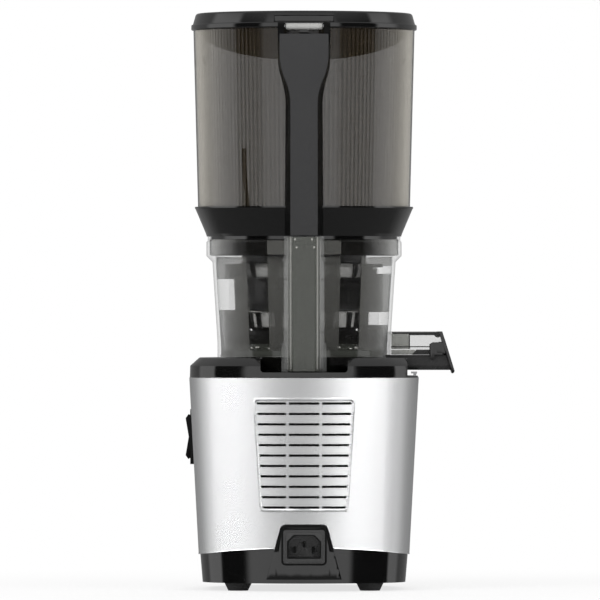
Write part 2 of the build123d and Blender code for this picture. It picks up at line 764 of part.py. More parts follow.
def make_top_cover():
    inset = COVER_SETBACK
    shoulder_inset = inset + COVER_LEAN
    cover = base_solid(HOUSING_TOP, COVER_SHOULDER, inset, shoulder_inset)
    cover += base_solid(COVER_SHOULDER, COVER_TOP, shoulder_inset, inset + COVER_CHAMFER)
    well_r = DRUM_FOOT_R + WELL_GAP
    under = base_solid(HOUSING_TOP - 1, COVER_TOP - PLASTIC_WALL, inset + PLASTIC_WALL,
                       inset + COVER_CHAMFER + PLASTIC_WALL)
    under -= disc(well_r + PLASTIC_WALL, HOUSING_TOP - 2, COVER_TOP)
    under -= block((-NOTCH_HALF - PLASTIC_WALL, -BACK_REACH, HOUSING_TOP - 2),
                   (NOTCH_HALF + PLASTIC_WALL, 0, COVER_TOP))
    under -= block((0, -CHUTE_SLOT_HALF - PLASTIC_WALL, HOUSING_TOP - 2),
                   (HALF_WIDTH, CHUTE_SLOT_HALF + PLASTIC_WALL, COVER_TOP))
    under -= block((CHUTE_SIDE_CUT - PLASTIC_WALL, -BACK_REACH, HOUSING_TOP - 2),
                   (HALF_WIDTH, BACK_REACH, COVER_TOP))
    cover -= under
    cover += disc(well_r + PLASTIC_WALL, WELL_FLOOR - WELL_FLOOR_THICK, HOUSING_TOP + 1)
    cover -= disc(well_r, WELL_FLOOR, COVER_TOP + 1)
    cover += tube(TOWER_R, TOWER_R - PLASTIC_WALL, WELL_FLOOR - 1, TOWER_TOP)
    cover += tube(TOWER_R, SEAL_R, TOWER_TOP - PLASTIC_WALL, TOWER_TOP)
    cover -= disc(SHAFT_R + SHAFT_CLEAR, WELL_FLOOR - 5, TOWER_TOP + 1)
    # notch for the column at the back
    notch = block((-NOTCH_HALF, -BACK_REACH - 1, NOTCH_FLOOR),
                  (NOTCH_HALF, -well_r / 2, COVER_TOP + 5))
    low_edges = notch.edges().filter_by(Axis.Y).sort_by(Axis.Z)[:2]
    cover -= fillet(low_edges, NOTCH_CORNER_R)
    # side cut and slot for the pulp chute
    cover -= block((CHUTE_SIDE_CUT, -BACK_REACH, HOUSING_TOP + LEDGE_THICK),
                   (HALF_WIDTH + 1, BACK_REACH, COVER_TOP + 1))
    cover -= block((well_r / 2, -CHUTE_SLOT_HALF, NOTCH_FLOOR),
                   (HALF_WIDTH + 1, CHUTE_SLOT_HALF, COVER_TOP + 1))
    # holes for the catch's hook and for the interlock plunger
    cover -= block((CHUTE_SIDE_CUT + 1, -CATCH_HALF - 0.5, HOUSING_TOP - 2),
                   (HALF_WIDTH + 1, CATCH_HALF + 0.5, COVER_TOP))
    cover -= disc(ROD_R + ROD_HOLE_CLEAR, HOUSING_TOP - 1, NOTCH_FLOOR + 1, 0, ROD_Y)
    return cover


def inlet_face_y():
    """Outer face of the inlet, a little proud of the tongue."""
    return -(BACK_REACH - housing_inset(INLET_Z)) - INLET_PROUD


def inlet_seat_y():
    """Flat seat behind the inlet's flange, deep enough at the tongue's lowest corners."""
    lowest = -(BACK_REACH - housing_inset(INLET_Z - INLET_HEIGHT / 2))
    return lowest + (INLET_WIDTH / 2) ** 2 / (2 * (BACK_ARC_R - HOUSING_TAPER))


def inlet_flange(outer_y):
    """Rounded flange between an outer level and its seat."""
    flange = block((-INLET_WIDTH / 2, outer_y, INLET_Z - INLET_HEIGHT / 2),
                   (INLET_WIDTH / 2, inlet_seat_y(), INLET_Z + INLET_HEIGHT / 2))
    return fillet(flange.edges().filter_by(Axis.Y), INLET_CORNER_R)


def make_power_inlet():
    face_y = inlet_face_y()
    flange = inlet_flange(face_y)
    margin = INLET_SEAT + INLET_BODY_GAP
    hole_half = (INLET_WIDTH / 2 - margin, INLET_HEIGHT / 2 - margin)
    box = block((-hole_half[0], face_y + 0.5, INLET_Z - hole_half[1]),
                (hole_half[0], face_y + INLET_DEPTH, INLET_Z + hole_half[1]))
    half = INLET_RECESS_WIDTH / 2
    low = INLET_Z - INLET_RECESS_HEIGHT / 2
    high = INLET_Z + INLET_RECESS_HEIGHT / 2
    outline = [(-half, low), (half, low), (half, high - INLET_BEVEL), (half - INLET_BEVEL, high),
               (-half + INLET_BEVEL, high), (-half, high - INLET_BEVEL)]
    recess = side_prism(outline, face_y - 1, face_y + INLET_RECESS_DEPTH)
    return flange + box - recess


def make_inlet_pins():
    back = inlet_face_y() + INLET_RECESS_DEPTH
    places = [(-PIN_SPACING / 2, INLET_Z - PIN_DROP), (PIN_SPACING / 2, INLET_Z - PIN_DROP),
              (0, INLET_Z - PIN_DROP + PIN_EARTH_RISE)]
    pins = []
    for x, z in places:
        pins.append(block((x - PIN_THICK / 2, back - PIN_LENGTH, z - PIN_WIDTH / 2),
                          (x + PIN_THICK / 2, back, z + PIN_WIDTH / 2)))
    return pins


# ---------------------------------------------------------------- rocker switch

def switch_face_x():
    return -(HALF_WIDTH - housing_inset(SWITCH_Z))


def make_switch_bezel():
    face = switch_face_x()
    frame = block((face - SWITCH_PROUD, SWITCH_Y - SWITCH_WIDTH / 2, SWITCH_Z - SWITCH_HEIGHT / 2),
                  (face + SWITCH_SEAT, SWITCH_Y + SWITCH_WIDTH / 2, SWITCH_Z + SWITCH_HEIGHT / 2))
    frame = fillet(frame.edges().filter_by(Axis.X), SWITCH_CORNER_R)
    frame -= housing_solid(HOUSING_BOTTOM, HOUSING_TOP, 0)
    body_half = (SWITCH_WIDTH / 2 - SWITCH_BODY_STEP, SWITCH_HEIGHT / 2 - SWITCH_BODY_STEP)
    frame += block((face - SWITCH_PROUD, SWITCH_Y - body_half[0], SWITCH_Z - body_half[1]),
                   (face + SWITCH_DEPTH, SWITCH_Y + body_half[0], SWITCH_Z + body_half[1]))
    frame -= block((face - SWITCH_PROUD - 1, SWITCH_Y - SWITCH_WIDTH / 2 + SWITCH_BORDER,
                    SWITCH_Z - SWITCH_HEIGHT / 2 + SWITCH_BORDER),
                   (face + SWITCH_DEPTH - SWITCH_BACK_WALL,
                    SWITCH_Y + SWITCH_WIDTH / 2 - SWITCH_BORDER,
                    SWITCH_Z + SWITCH_HEIGHT / 2 - SWITCH_BORDER))
    return frame - rocker_pivot(body_half[0], ROCKER_PIN_R + RUN_FIT)


def rocker_pivot(half, radius):
    """Round bar along the rocker's pivot."""
    x = switch_face_x() + ROCKER_PIVOT_DEPTH
    return round_bar((x, SWITCH_Y - half, SWITCH_Z), (x, SWITCH_Y + half, SWITCH_Z), radius)


def make_rocker():
    """V-shaped rocker on two trunnions: both ends stand up from a sag in the middle."""
    face = switch_face_x()
    half_height = SWITCH_HEIGHT / 2 - SWITCH_BORDER - ROCKER_TIP_GAP
    half_width = SWITCH_WIDTH / 2 - SWITCH_BORDER - ROCKER_SIDE_GAP
    outer = face - ROCKER_PROUD
    inner = face + ROCKER_BACK_DEPTH
    high = SWITCH_Z + half_height
    low = SWITCH_Z - half_height
    outline = [(outer, high - ROCKER_END), (outer + ROCKER_SAG, SWITCH_Z),
               (outer, low + ROCKER_END), (outer + ROCKER_END_DROP, low),
               (inner, low + ROCKER_HEEL), (inner, high - ROCKER_HEEL),
               (outer + ROCKER_END_DROP, high)]
    rocker = side_prism(outline, SWITCH_Y - half_width, SWITCH_Y + half_width)
    return rocker + rocker_pivot(SWITCH_WIDTH / 2 - SWITCH_BODY_STEP - RUN_FIT, ROCKER_PIN_R)


# ---------------------------------------------------------------- motor and gears

def make_motor_can():
    can = tube(MOTOR_R, MOTOR_R - MOTOR_WALL, MOTOR_BOTTOM, MOTOR_TOP)
    for low in (MOTOR_BOTTOM, MOTOR_TOP - MOTOR_BEARING_HEIGHT):
        can += tube(MOTOR_R - MOTOR_WALL / 2, MOTOR_SHAFT_R + MOTOR_BEARING_WALL, low,
                    low + MOTOR_BEARING_HEIGHT)
    for vent in range(CAN_VENTS):
        x, y = polar(CAN_VENT_CENTRE_R, vent * 360 / CAN_VENTS)
        can -= disc(CAN_VENT_R, MOTOR_BOTTOM - 1, MOTOR_BOTTOM + MOTOR_BEARING_HEIGHT + 1, x, y)
    return can


def make_motor_bearings():
    bearings = []
    for low in (MOTOR_BOTTOM, MOTOR_TOP - MOTOR_BEARING_HEIGHT):
        bearings.append(tube(MOTOR_SHAFT_R + MOTOR_BEARING_WALL, MOTOR_SHAFT_R + RUN_FIT, low,
                             low + MOTOR_BEARING_HEIGHT))
    return bearings


def make_stator():
    ring = tube(MOTOR_R - MOTOR_WALL, ROTOR_R + AIR_GAP, STATOR_BOTTOM, STATOR_TOP)
    slot = block((STATOR_SLOT_CENTRE_R - STATOR_SLOT_DEPTH / 2, -STATOR_SLOT_WIDTH / 2,
                  STATOR_BOTTOM - 1),
                 (STATOR_SLOT_CENTRE_R + STATOR_SLOT_DEPTH / 2, STATOR_SLOT_WIDTH / 2,
                  STATOR_TOP + 1))
    for number in range(STATOR_SLOTS):
        ring -= Rot(0, 0, (number + 0.5) * 360 / STATOR_SLOTS) * slot
    return ring


def make_rotor_core():
    return tube(ROTOR_R, MOTOR_SHAFT_R, STATOR_BOTTOM, STATOR_TOP)


def make_motor_shaft():
    """Motor shaft with its pinion cut on the end."""
    shaft = disc(MOTOR_SHAFT_R, FAN_BOTTOM, FIRST_STAGE_BOTTOM)
    shaft += spur_gear(DRIVE_MODULE, PINION_TEETH, FIRST_STAGE_BOTTOM, FIRST_STAGE_HEIGHT, -90)
    return shaft


def make_cooling_fan():
    fan = tube(FAN_HUB_R, MOTOR_SHAFT_R, FAN_BOTTOM, FAN_TOP)
    fan += tube(FAN_R, FAN_HUB_R - 1, FAN_TOP - FAN_DISC_THICK, FAN_TOP)
    blade = block((FAN_HUB_R - 1, -FAN_BLADE_THICK / 2, FAN_BOTTOM),
                  (FAN_R, FAN_BLADE_THICK / 2, FAN_TOP - FAN_DISC_THICK / 2))
    for number in range(FAN_BLADES):
        fan += Rot(0, 0, number * 360 / FAN_BLADES) * blade
    return fan


def gearbox_plan(grow):
    """Stadium round the two gear shafts, grown outward."""
    radius = WHEEL_R + DRIVE_MODULE + GEAR_CLEAR + grow
    return Pos(0, -WHEEL_AXIS / 2) * Rot(0, 0, 90) * SlotCenterToCenter(WHEEL_AXIS, 2 * radius)


def gearbox_ears(low, high):
    ears = []
    for x, y in post_places():
        inner = math.copysign(WHEEL_R, x)
        span = sorted((inner, x))
        ears.append(disc(POST_R, low, high, x, y) + block((span[0], y - POST_R, low),
                                                          (span[1], y + POST_R, high)))
    return ears


def make_gearbox_case():
    case = Pos(0, 0, GEARBOX_BOTTOM) * extrude(gearbox_plan(GEARBOX_WALL),
                                               GEARBOX_TOP - GEARBOX_BOTTOM)
    case += gearbox_ears(GEARBOX_BOTTOM, GEARBOX_BOTTOM + GEARBOX_FLOOR)
    case -= Pos(0, 0, GEARBOX_BOTTOM + GEARBOX_FLOOR) * extrude(gearbox_plan(0), GEARBOX_TOP)
    case -= disc(MOTOR_SHAFT_R + SHAFT_CLEAR, GEARBOX_BOTTOM - 1, FIRST_STAGE_BOTTOM)
    # boss that carries the wheel shaft
    case += disc(WHEEL_BOSS_R, GEARBOX_BOTTOM + GEARBOX_FLOOR - 1, FIRST_STAGE_BOTTOM - SEAM, 0,
                 -WHEEL_AXIS)
    case -= disc(WHEEL_PIN_R, GEARBOX_BOTTOM + 1, FIRST_STAGE_BOTTOM, 0, -WHEEL_AXIS)
    return case


def make_gearbox_lid():
    lid = Pos(0, 0, GEARBOX_TOP) * extrude(gearbox_plan(GEARBOX_WALL), GEARBOX_LID)
    bearing_top = GEARBOX_TOP + GEARBOX_LID + BEARING_HEIGHT
    lid += disc(BEARING_R + BEARING_WALL, GEARBOX_TOP, bearing_top)
    lid -= disc(BEARING_R, GEARBOX_TOP + GEARBOX_LID, bearing_top + 1)
    lid -= disc(SHAFT_R + 2 * SHAFT_CLEAR, GEARBOX_TOP - 1, bearing_top)
    lid -= disc(WHEEL_PIN_R, GEARBOX_TOP - 1, GEARBOX_TOP + 2, 0, -WHEEL_AXIS)
    return lid


def make_wheel_pin():
    return disc(WHEEL_PIN_R, GEARBOX_BOTTOM + 1, GEARBOX_TOP + 2, 0, -WHEEL_AXIS)


def make_shaft_bearing():
    low = GEARBOX_TOP + GEARBOX_LID
    return tube(BEARING_R, SHAFT_R + RUN_FIT, low, low + BEARING_HEIGHT)


def make_compound_gear():
    """First-stage wheel with the second-stage pinion on the same hub."""
    y = -WHEEL_AXIS
    gear = spur_gear(DRIVE_MODULE, WHEEL_TEETH, FIRST_STAGE_BOTTOM, FIRST_STAGE_HEIGHT,
                     90 + 180 / WHEEL_TEETH, 0, y)
    gear += disc(DRIVE_MODULE * PINION_TEETH / 2 - 1.5, FIRST_STAGE_BOTTOM, SECOND_STAGE_BOTTOM, 0, y)
    gear += spur_gear(DRIVE_MODULE, PINION_TEETH, SECOND_STAGE_BOTTOM, SECOND_STAGE_HEIGHT, 90, 0, y)
    gear -= disc(WHEEL_PIN_R + RUN_FIT, FIRST_STAGE_BOTTOM - 1, GEARBOX_TOP, 0, y)
    return gear


def make_output_gear():
    gear = spur_gear(DRIVE_MODULE, WHEEL_TEETH, SECOND_STAGE_BOTTOM, SECOND_STAGE_HEIGHT,
                     -90 + 180 / WHEEL_TEETH)
    gear -= disc(SHAFT_R, SECOND_STAGE_BOTTOM - 1, GEARBOX_TOP)
    for hole in range(GEAR_HOLES):
        x, y = polar(GEAR_HOLE_CENTRE_R, hole * 360 / GEAR_HOLES)
        gear -= disc(GEAR_HOLE_R, SECOND_STAGE_BOTTOM - 1, GEARBOX_TOP, x, y)
    return gear


def make_drive_shaft():
    """Output shaft that ends in a hexagon for the auger."""
    shaft = disc(SHAFT_R, SECOND_STAGE_BOTTOM, HEX_BOTTOM)
    hexagon = RegularPolygon(HEX_ACROSS_FLATS / 2, 6, major_radius=False)
    shaft += Pos(0, 0, HEX_BOTTOM) * extrude(hexagon, SHAFT_TOP - HEX_BOTTOM)
    top_edges = shaft.faces().sort_by(Axis.Z)[-1].edges()
    return chamfer(top_edges, SHAFT_CHAMFER)


def make_shaft_seal():
    """Lip seal in the top of the tower, a little clear of the turning shaft."""
    top = TOWER_TOP + SEAL_PROUD
    return tube(SEAL_R, SHAFT_R + SEAL_LIP_GAP, top - SEAL_HEIGHT, top)


def make_circuit_board():
    x = BOARD_X - BOARD_THICK / 2
    return block((x, BOARD_BACK, BOARD_BOTTOM), (x + BOARD_THICK, BOARD_FRONT, BOARD_TOP))


def make_board_parts():
    x = BOARD_X + BOARD_THICK / 2
    left = BOARD_X - BOARD_THICK / 2
    parts = []
    for y, z, radius, height in CAPACITORS:
        parts.append(round_bar((x, y, z), (x + height, y, z), radius))
    for low_y, high_y, low_z, high_z, depth in BOARD_BOXES:
        parts.append(block((x, low_y, low_z), (x + depth, high_y, high_z)))
    low_y, high_y, low_z, high_z, depth = HEAT_SINK
    parts.append(block((left - depth, low_y, low_z), (left, high_y, high_z)))
    return parts


def make_interlock_switch():
    """Microswitch under the notch, worked by the rod above it."""
    top = HOUSING_TOP - MICROSWITCH_DROP
    return block((-MICROSWITCH_HALF, ROD_Y - MICROSWITCH_THICK / 2, top - MICROSWITCH_HEIGHT),
                 (MICROSWITCH_HALF, ROD_Y + MICROSWITCH_THICK / 2, top))


def make_switch_plunger():
    low = HOUSING_TOP - MICROSWITCH_DROP
    return disc(ROD_R - PLUNGER_STEP, low, rod_bottom() - ROD_GAP, 0, ROD_Y)


def rod_bottom():
    return NOTCH_FLOOR + ROD_FOOT_GAP


# ---------------------------------------------------------------- release catch

def catch_x():
    return HALF_WIDTH - housing_inset(CATCH_BUTTON_TOP) - CATCH_SINK


def catch_pivot_x():
    return catch_x() - CATCH_THICK


def make_catch_lever():
    """Sprung lever: a pivot, a button that shows in the slot and a hook over the ledge."""
    x = catch_x()
    back = x - CATCH_THICK
    arm = x - CATCH_STEP
    button = x + CATCH_STEP
    tip = x + CATCH_HOOK_TIP
    hook = x - CATCH_HOOK_REACH
    foot = CATCH_PIVOT_Z - CATCH_FOOT
    outline = [(back, foot), (arm, foot), (arm, CATCH_BUTTON_BOTTOM),
               (button, CATCH_BUTTON_BOTTOM + CATCH_NECK),
               (button, CATCH_BUTTON_TOP - CATCH_NECK), (arm, CATCH_BUTTON_TOP),
               (arm, HOUSING_TOP + CATCH_NECK), (tip, CATCH_HOOK_TOP - CATCH_SINK),
               (tip, CATCH_HOOK_TOP), (hook, CATCH_HOOK_TOP),
               (hook, CATCH_HOOK_TOP - CATCH_HOOK_DEPTH),
               (back, CATCH_HOOK_TOP - CATCH_HOOK_DEPTH)]
    lever = side_prism(outline, -CATCH_HALF, CATCH_HALF)
    lever += catch_bar(CATCH_HALF, CATCH_PIN_R + CATCH_EYE_WALL)
    return lever - catch_bar(2 * CATCH_HALF, CATCH_PIN_R + RUN_FIT)


def catch_bar(half, radius):
    x = catch_pivot_x()
    return round_bar((x, -half, CATCH_PIVOT_Z), (x, half, CATCH_PIVOT_Z), radius)


def make_catch_pin():
    return catch_bar(CATCH_HALF + POCKET_WALL, CATCH_PIN_R)


def make_catch_pocket():
    """Pocket behind the slot that carries the catch's pin."""
    x = catch_x()
    outer_x = HALF_WIDTH - housing_inset(CATCH_SLOT_BOTTOM) - STEEL_WALL
    inner_half = CATCH_HALF + CATCH_HOOK_TIP
    half = inner_half + POCKET_WALL
    top = HOUSING_TOP - 0.2
    pocket = block((x - POCKET_DEPTH, -half, CATCH_SLOT_BOTTOM - POCKET_BACK_WALL),
                   (outer_x, half, top))
    pocket -= block((x - POCKET_DEPTH + POCKET_BACK_WALL, -inner_half, CATCH_SLOT_BOTTOM),
                    (outer_x + 1, inner_half, HOUSING_TOP))
    pocket -= catch_bar(CATCH_HALF + POCKET_WALL, CATCH_PIN_R)
    return pocket & housing_solid(HOUSING_BOTTOM, top, STEEL_WALL)


# ---------------------------------------------------------------- drum

def drum_outside():
    """Everything within the drum's outer surface, up to its collar."""
    return turned([(0, SKIRT_BOTTOM - 5), (DRUM_FOOT_R, SKIRT_BOTTOM - 5),
                   (DRUM_FOOT_R, DRUM_FOOT_Z), (DRUM_TOP_R, DRUM_TOP_Z),
                   (COLLAR_R, COLLAR_BOTTOM), (COLLAR_R, COLUMN_TOP + 5),
                   (0, COLUMN_TOP + 5)])


def column_plan(inward):
    """Plan of the column: narrow face, straight flanks and flared root."""
    face = COLUMN_FACE_HALF - inward * 0.6
    half = COLUMN_HALF - inward
    root = COLUMN_ROOT_HALF - inward
    back = COLUMN_Y + inward
    right = [(face, back), (half, back + COLUMN_FACE_STEP - inward * 0.4),
             (half, COLUMN_FLANK_END_Y), (root, COLUMN_ROOT_Y), (root, COLUMN_INNER_Y)]
    left = [(-x, y) for x, y in reversed(right)]
    return make_face(Polyline(*right, *left, close=True))


def column_solid(inward, low, high):
    return Pos(0, 0, low) * extrude(column_plan(inward), high - low)


def make_drum():
    inner = DRUM_WALL
    neck_inner = NECK_R + 2 * SEAM
    shoulder = NECK_BOTTOM - SEAM
    wall = turned([(DRUM_FOOT_R - SKIRT_WALL, SKIRT_BOTTOM), (DRUM_FOOT_R, SKIRT_BOTTOM),
                   (DRUM_FOOT_R, DRUM_FOOT_Z), (DRUM_TOP_R, DRUM_TOP_Z),
                   (COLLAR_R, COLLAR_BOTTOM), (COLLAR_R, COLLAR_TOP - 1),
                   (COLLAR_R - 1, COLLAR_TOP), (neck_inner, COLLAR_TOP), (neck_inner, shoulder),
                   (DRUM_TOP_R - inner, shoulder), (DRUM_TOP_R - inner, DRUM_TOP_Z),
                   (drum_radius(DRUM_FLOOR_TOP) - inner, DRUM_FLOOR_TOP),
                   (DRUM_HUB_R, DRUM_FLOOR_TOP),
                   (DRUM_HUB_R, DRUM_FLOOR_TOP - DRUM_FLOOR_THICK),
                   (DRUM_FOOT_R - SKIRT_WALL, DRUM_FLOOR_TOP - DRUM_FLOOR_THICK)])
    drum = wall
    outside = drum_outside()
    # radial ribs under the floor
    for rib in range(SKIRT_RIBS):
        web = block((DRUM_FOOT_R - SKIRT_RIB_REACH, -SKIRT_RIB_THICK / 2, SKIRT_BOTTOM + 2),
                    (DRUM_FOOT_R - 1, SKIRT_RIB_THICK / 2, DRUM_FLOOR_TOP - 1))
        drum += Rot(0, 0, (rib + 0.5) * 360 / SKIRT_RIBS) * web
    # column and the rib plate behind it
    column = column_solid(0, COLUMN_BOTTOM, COLUMN_TOP)
    column -= column_solid(COLUMN_WALL, COLUMN_BOTTOM + COLUMN_WALL, COLUMN_TOP - COLUMN_WALL)
    for z in COLUMN_SHELVES:
        column += column_solid(1, z, z + COLUMN_WALL)
    column -= disc(ROD_R + ROD_HOLE_CLEAR, COLUMN_BOTTOM - 1, COLUMN_TOP + 1, 0, ROD_Y)
    rib = block((-BACK_RIB_HALF, -DRUM_TOP_R - BACK_RIB_THICK, DRUM_FOOT_Z),
                (BACK_RIB_HALF, -DRUM_TOP_R / 2, DRUM_TOP_Z))
    rib -= column_solid(COLUMN_WALL, DRUM_FOOT_Z - 1, DRUM_TOP_Z + 1)
    drum += column - outside
    drum += rib - outside
    # bayonet lugs on the collar
    half = COLLAR_R * math.radians(LUG_SPAN / 2)
    lug_top = FLANGE_BOTTOM - SEAM
    lug = block((0, -half, COLLAR_TOP - 1), (COLLAR_R, half, lug_top))
    lug &= tube(COLLAR_R - 1, neck_inner + SEAM, COLLAR_TOP - 1, lug_top)
    for angle in LUG_ANGLES:
        drum += Rot(0, 0, angle) * lug
    drum -= juice_tube(SPOUT_BORE_R, 50, 30)
    # way through the skirt for the trough, pulp hole in the floor
    drum -= block((TROUGH_START_X + 10, -trough_half() - SEAM, SKIRT_BOTTOM - 1),
                  (DRUM_FOOT_R + 3, trough_half() + SEAM, DRUM_FLOOR_TOP - DRUM_FLOOR_THICK - 0.01))
    drum -= pulp_hole(DRUM_FLOOR_TOP - DRUM_FLOOR_THICK - 1, DRUM_FLOOR_TOP + 1)
    # pocket for the idler's pin
    x, y = polar(IDLER_AXIS, IDLER_ANGLE)
    boss_bottom = DRUM_FLOOR_TOP - DRUM_FLOOR_THICK - IDLER_BOSS_DROP
    drum += disc(IDLER_PIN_R + IDLER_BOSS_WALL, boss_bottom, DRUM_FLOOR_TOP - 1, x, y)
    drum -= disc(IDLER_PIN_R, idler_pin_bottom(), DRUM_FLOOR_TOP + 1, x, y)
    return drum


def make_chute_hood():
    """Clear hood over the pulp chute, welded to the drum's side."""
    roof = CHUTE_ROOF
    end = CHUTE_END_LOW_X + 10
    low = DRUM_FLOOR_TOP - DRUM_FLOOR_THICK
    hood = block((HOOD_START_X, -CHUTE_HALF, low), (end, CHUTE_HALF, roof))
    hood = fillet(hood.edges().filter_by(Axis.X).sort_by(Axis.Z)[-2:], HOOD_CORNER_R)
    hollow = block((HOOD_START_X - 1, -CHUTE_HALF + CHUTE_WALL, low - 1),
                   (end + 1, CHUTE_HALF - CHUTE_WALL, roof - CHUTE_WALL))
    hood -= fillet(hollow.edges().filter_by(Axis.X).sort_by(Axis.Z)[-2:], HOOD_CORNER_R / 2)
    hood += hood_ears()
    hood -= chute_end_cutter(0)
    cut_half = CAP_KNUCKLE_HALF + CAP_SIDE_GAP
    hood -= block((CHUTE_END_TOP_X - HINGE_CUT_REACH, -cut_half, roof - HINGE_CUT_DEPTH),
                  (end, cut_half, roof + 1))
    hood -= cap_pin_bar(CHUTE_HALF + 1)
    return hood - drum_outside()


def make_juice_spout():
    """Clear spout welded to the drum's front, with the ears of its cap."""
    spout = juice_tube(SPOUT_R) - juice_tube(SPOUT_BORE_R, 50, 30)
    spout += spout_ears()
    spout -= spout_pin_bar(SPOUT_R + 4)
    return spout - drum_outside()


def pulp_hole(low, high):
    """Opening through which pulp drops from the strainer's foot into the trough."""
    hole = tube(PULP_HOLE_OUTER_R, PULP_HOLE_INNER_R, low, high)
    return hole & block((0, -PULP_HOLE_HALF, low), (DRUM_FOOT_R, PULP_HOLE_HALF, high))


def trough_half():
    return CHUTE_HALF - CHUTE_WALL - TROUGH_SIDE_GAP


def chute_end_cutter(back):
    """Everything beyond the chute's slanted end, moved back towards the drum."""
    low_z = CHUTE_END_LOW_Z - 20
    high_z = CHUTE_ROOF + 20
    outline = [(chute_end_x(low_z) - back, low_z), (chute_end_x(low_z) + 60, low_z),
               (chute_end_x(low_z) + 60, high_z), (chute_end_x(high_z) - back, high_z)]
    return side_prism(outline, -CHUTE_HALF - 20, CHUTE_HALF + 20)


def cap_hinge():
    """Centre of the pulp cap's hinge in X and Z."""
    return CHUTE_END_TOP_X - CAP_HINGE_SETBACK, CHUTE_ROOF - CAP_KNUCKLE_R


def cap_pin_bar(half):
    x, z = cap_hinge()
    return round_bar((x, -half, z), (x, half, z), CAP_PIN_R)


def hood_ears():
    x, z = cap_hinge()
    ears = []
    for side in (-1, 1):
        span = sorted((side * (CAP_KNUCKLE_HALF + CAP_SIDE_GAP), side * CHUTE_HALF))
        ears.append(round_bar((x, span[0], z), (x, span[1], z), CAP_KNUCKLE_R))
    return ears


def make_pulp_trough():
    """Black open-topped channel under the drum's floor."""
    half = trough_half()
    top = DRUM_FLOOR_TOP - DRUM_FLOOR_THICK - TROUGH_TOP_GAP
    end = CHUTE_END_LOW_X + 10
    outer = block((TROUGH_START_X, -half, TROUGH_BOTTOM), (end, half, top))
    outer = fillet(outer.edges().filter_by(Axis.X).sort_by(Axis.Z)[:2], HOOD_CORNER_R)
    inner = block((TROUGH_START_X + CHUTE_WALL, -half + CHUTE_WALL, TROUGH_BOTTOM + CHUTE_WALL),
                  (end + 1, half - CHUTE_WALL, top + 1))
    inner = fillet(inner.edges().filter_by(Axis.X).sort_by(Axis.Z)[:2], HOOD_CORNER_R / 2)
    return outer - inner - chute_end_cutter(0)


def make_pulp_cap():
    """Slanted flap with a knuckle at the top, side arms and a finger lip."""
    plate = chute_end_cutter(-CAP_GAP) & block((80, -CHUTE_HALF, CHUTE_END_LOW_Z),
                                               (140, CHUTE_HALF, CHUTE_ROOF))
    plate -= chute_end_cutter(-CAP_GAP - CAP_THICK)
    x, z = cap_hinge()
    for side in (-1, 1):
        span = sorted((side * CAP_KNUCKLE_HALF, side * (CHUTE_HALF + 1)))
        plate -= block((x - 5, span[0], z - CAP_KNUCKLE_R - 1), (x + 20, span[1], z + 20))
    knuckle = round_bar((x, -CAP_KNUCKLE_HALF, z), (x, CAP_KNUCKLE_HALF, z), CAP_KNUCKLE_R)
    knuckle += block((x, -CAP_KNUCKLE_HALF, z),
                     (x + CAP_WEB, CAP_KNUCKLE_HALF, z + CAP_KNUCKLE_R))
    cap = plate + knuckle
    cap -= round_bar((x, -CHUTE_HALF, z), (x, CHUTE_HALF, z), CAP_PIN_R + RUN_FIT)
    lip_x = chute_end_x(CHUTE_END_LOW_Z)
    lip_half = CHUTE_HALF - CAP_LIP_INSET
    cap += round_bar((lip_x + 1, -lip_half, CHUTE_END_LOW_Z),
                     (lip_x + 1, lip_half, CHUTE_END_LOW_Z), CAP_LIP_R) - cap_inside()
    for side in (-1, 1):
        root = sorted((side * (CHUTE_HALF - 1), side * (CHUTE_HALF + CAP_ARM_THICK)))
        outer = sorted((side * (CHUTE_HALF + SEAM), side * (CHUTE_HALF + CAP_ARM_THICK)))
        cap += side_prism([(x + across, z + up) for across, up in CAP_ARM], *outer)
        cap += side_prism([(x + across, z + up) for across, up in CAP_ARM_ROOT],
                          *root) - cap_inside()
    return cap


def cap_inside():
    """Room that the chute's end needs, plus the cap's gap."""
    everything = block((0, -60, 150), (160, 60, 210))
    return everything - chute_end_cutter(-CAP_GAP)


def make_pulp_cap_seal():
    """Silicone bung on the inside of the flap."""
    half = CHUTE_HALF - CHUTE_WALL - BUNG_SIDE_GAP
    bung = block((80, -half, TROUGH_BOTTOM + CHUTE_WALL + BUNG_FLOOR_GAP),
                 (140, half, CHUTE_ROOF - BUNG_TOP_GAP))
    return bung & (chute_end_cutter(BUNG_DEPTH) - chute_end_cutter(-CAP_GAP))


def spout_end_y(z):
    """Slanted end of the juice spout at a height."""
    return SPOUT_END_Y - SPOUT_LEAN * (z - SPOUT_Z + SPOUT_R) / (2 * SPOUT_R)


def spout_end_cutter(back):
    low = SPOUT_Z - SPOUT_R - 20
    high = SPOUT_Z + SPOUT_R + 20
    points = [(spout_end_y(low) - back, low), (spout_end_y(low) + 60, low),
              (spout_end_y(low) + 60, high), (spout_end_y(high) - back, high)]
    face = make_face(Polyline(*points, close=True))
    return extrude(Plane.YZ.offset(-50) * face, 100)


def juice_tube(radius, start=60.0, past=0.0):
    """Bar along the spout's axis, cut at the slanted end."""
    bar = round_bar((0, start, SPOUT_Z), (0, SPOUT_END_Y + 10, SPOUT_Z), radius)
    if past:
        return bar
    return bar - spout_end_cutter(0)


def spout_hinge():
    """Centre of the juice cap's hinge in Y and Z."""
    z = SPOUT_Z + SPOUT_R + CAP_KNUCKLE_R + CAP_GAP
    return spout_end_y(z) - SPOUT_HINGE_SETBACK, z


def spout_pin_bar(half):
    y, z = spout_hinge()
    return round_bar((-half, y, z), (half, y, z), CAP_PIN_R)


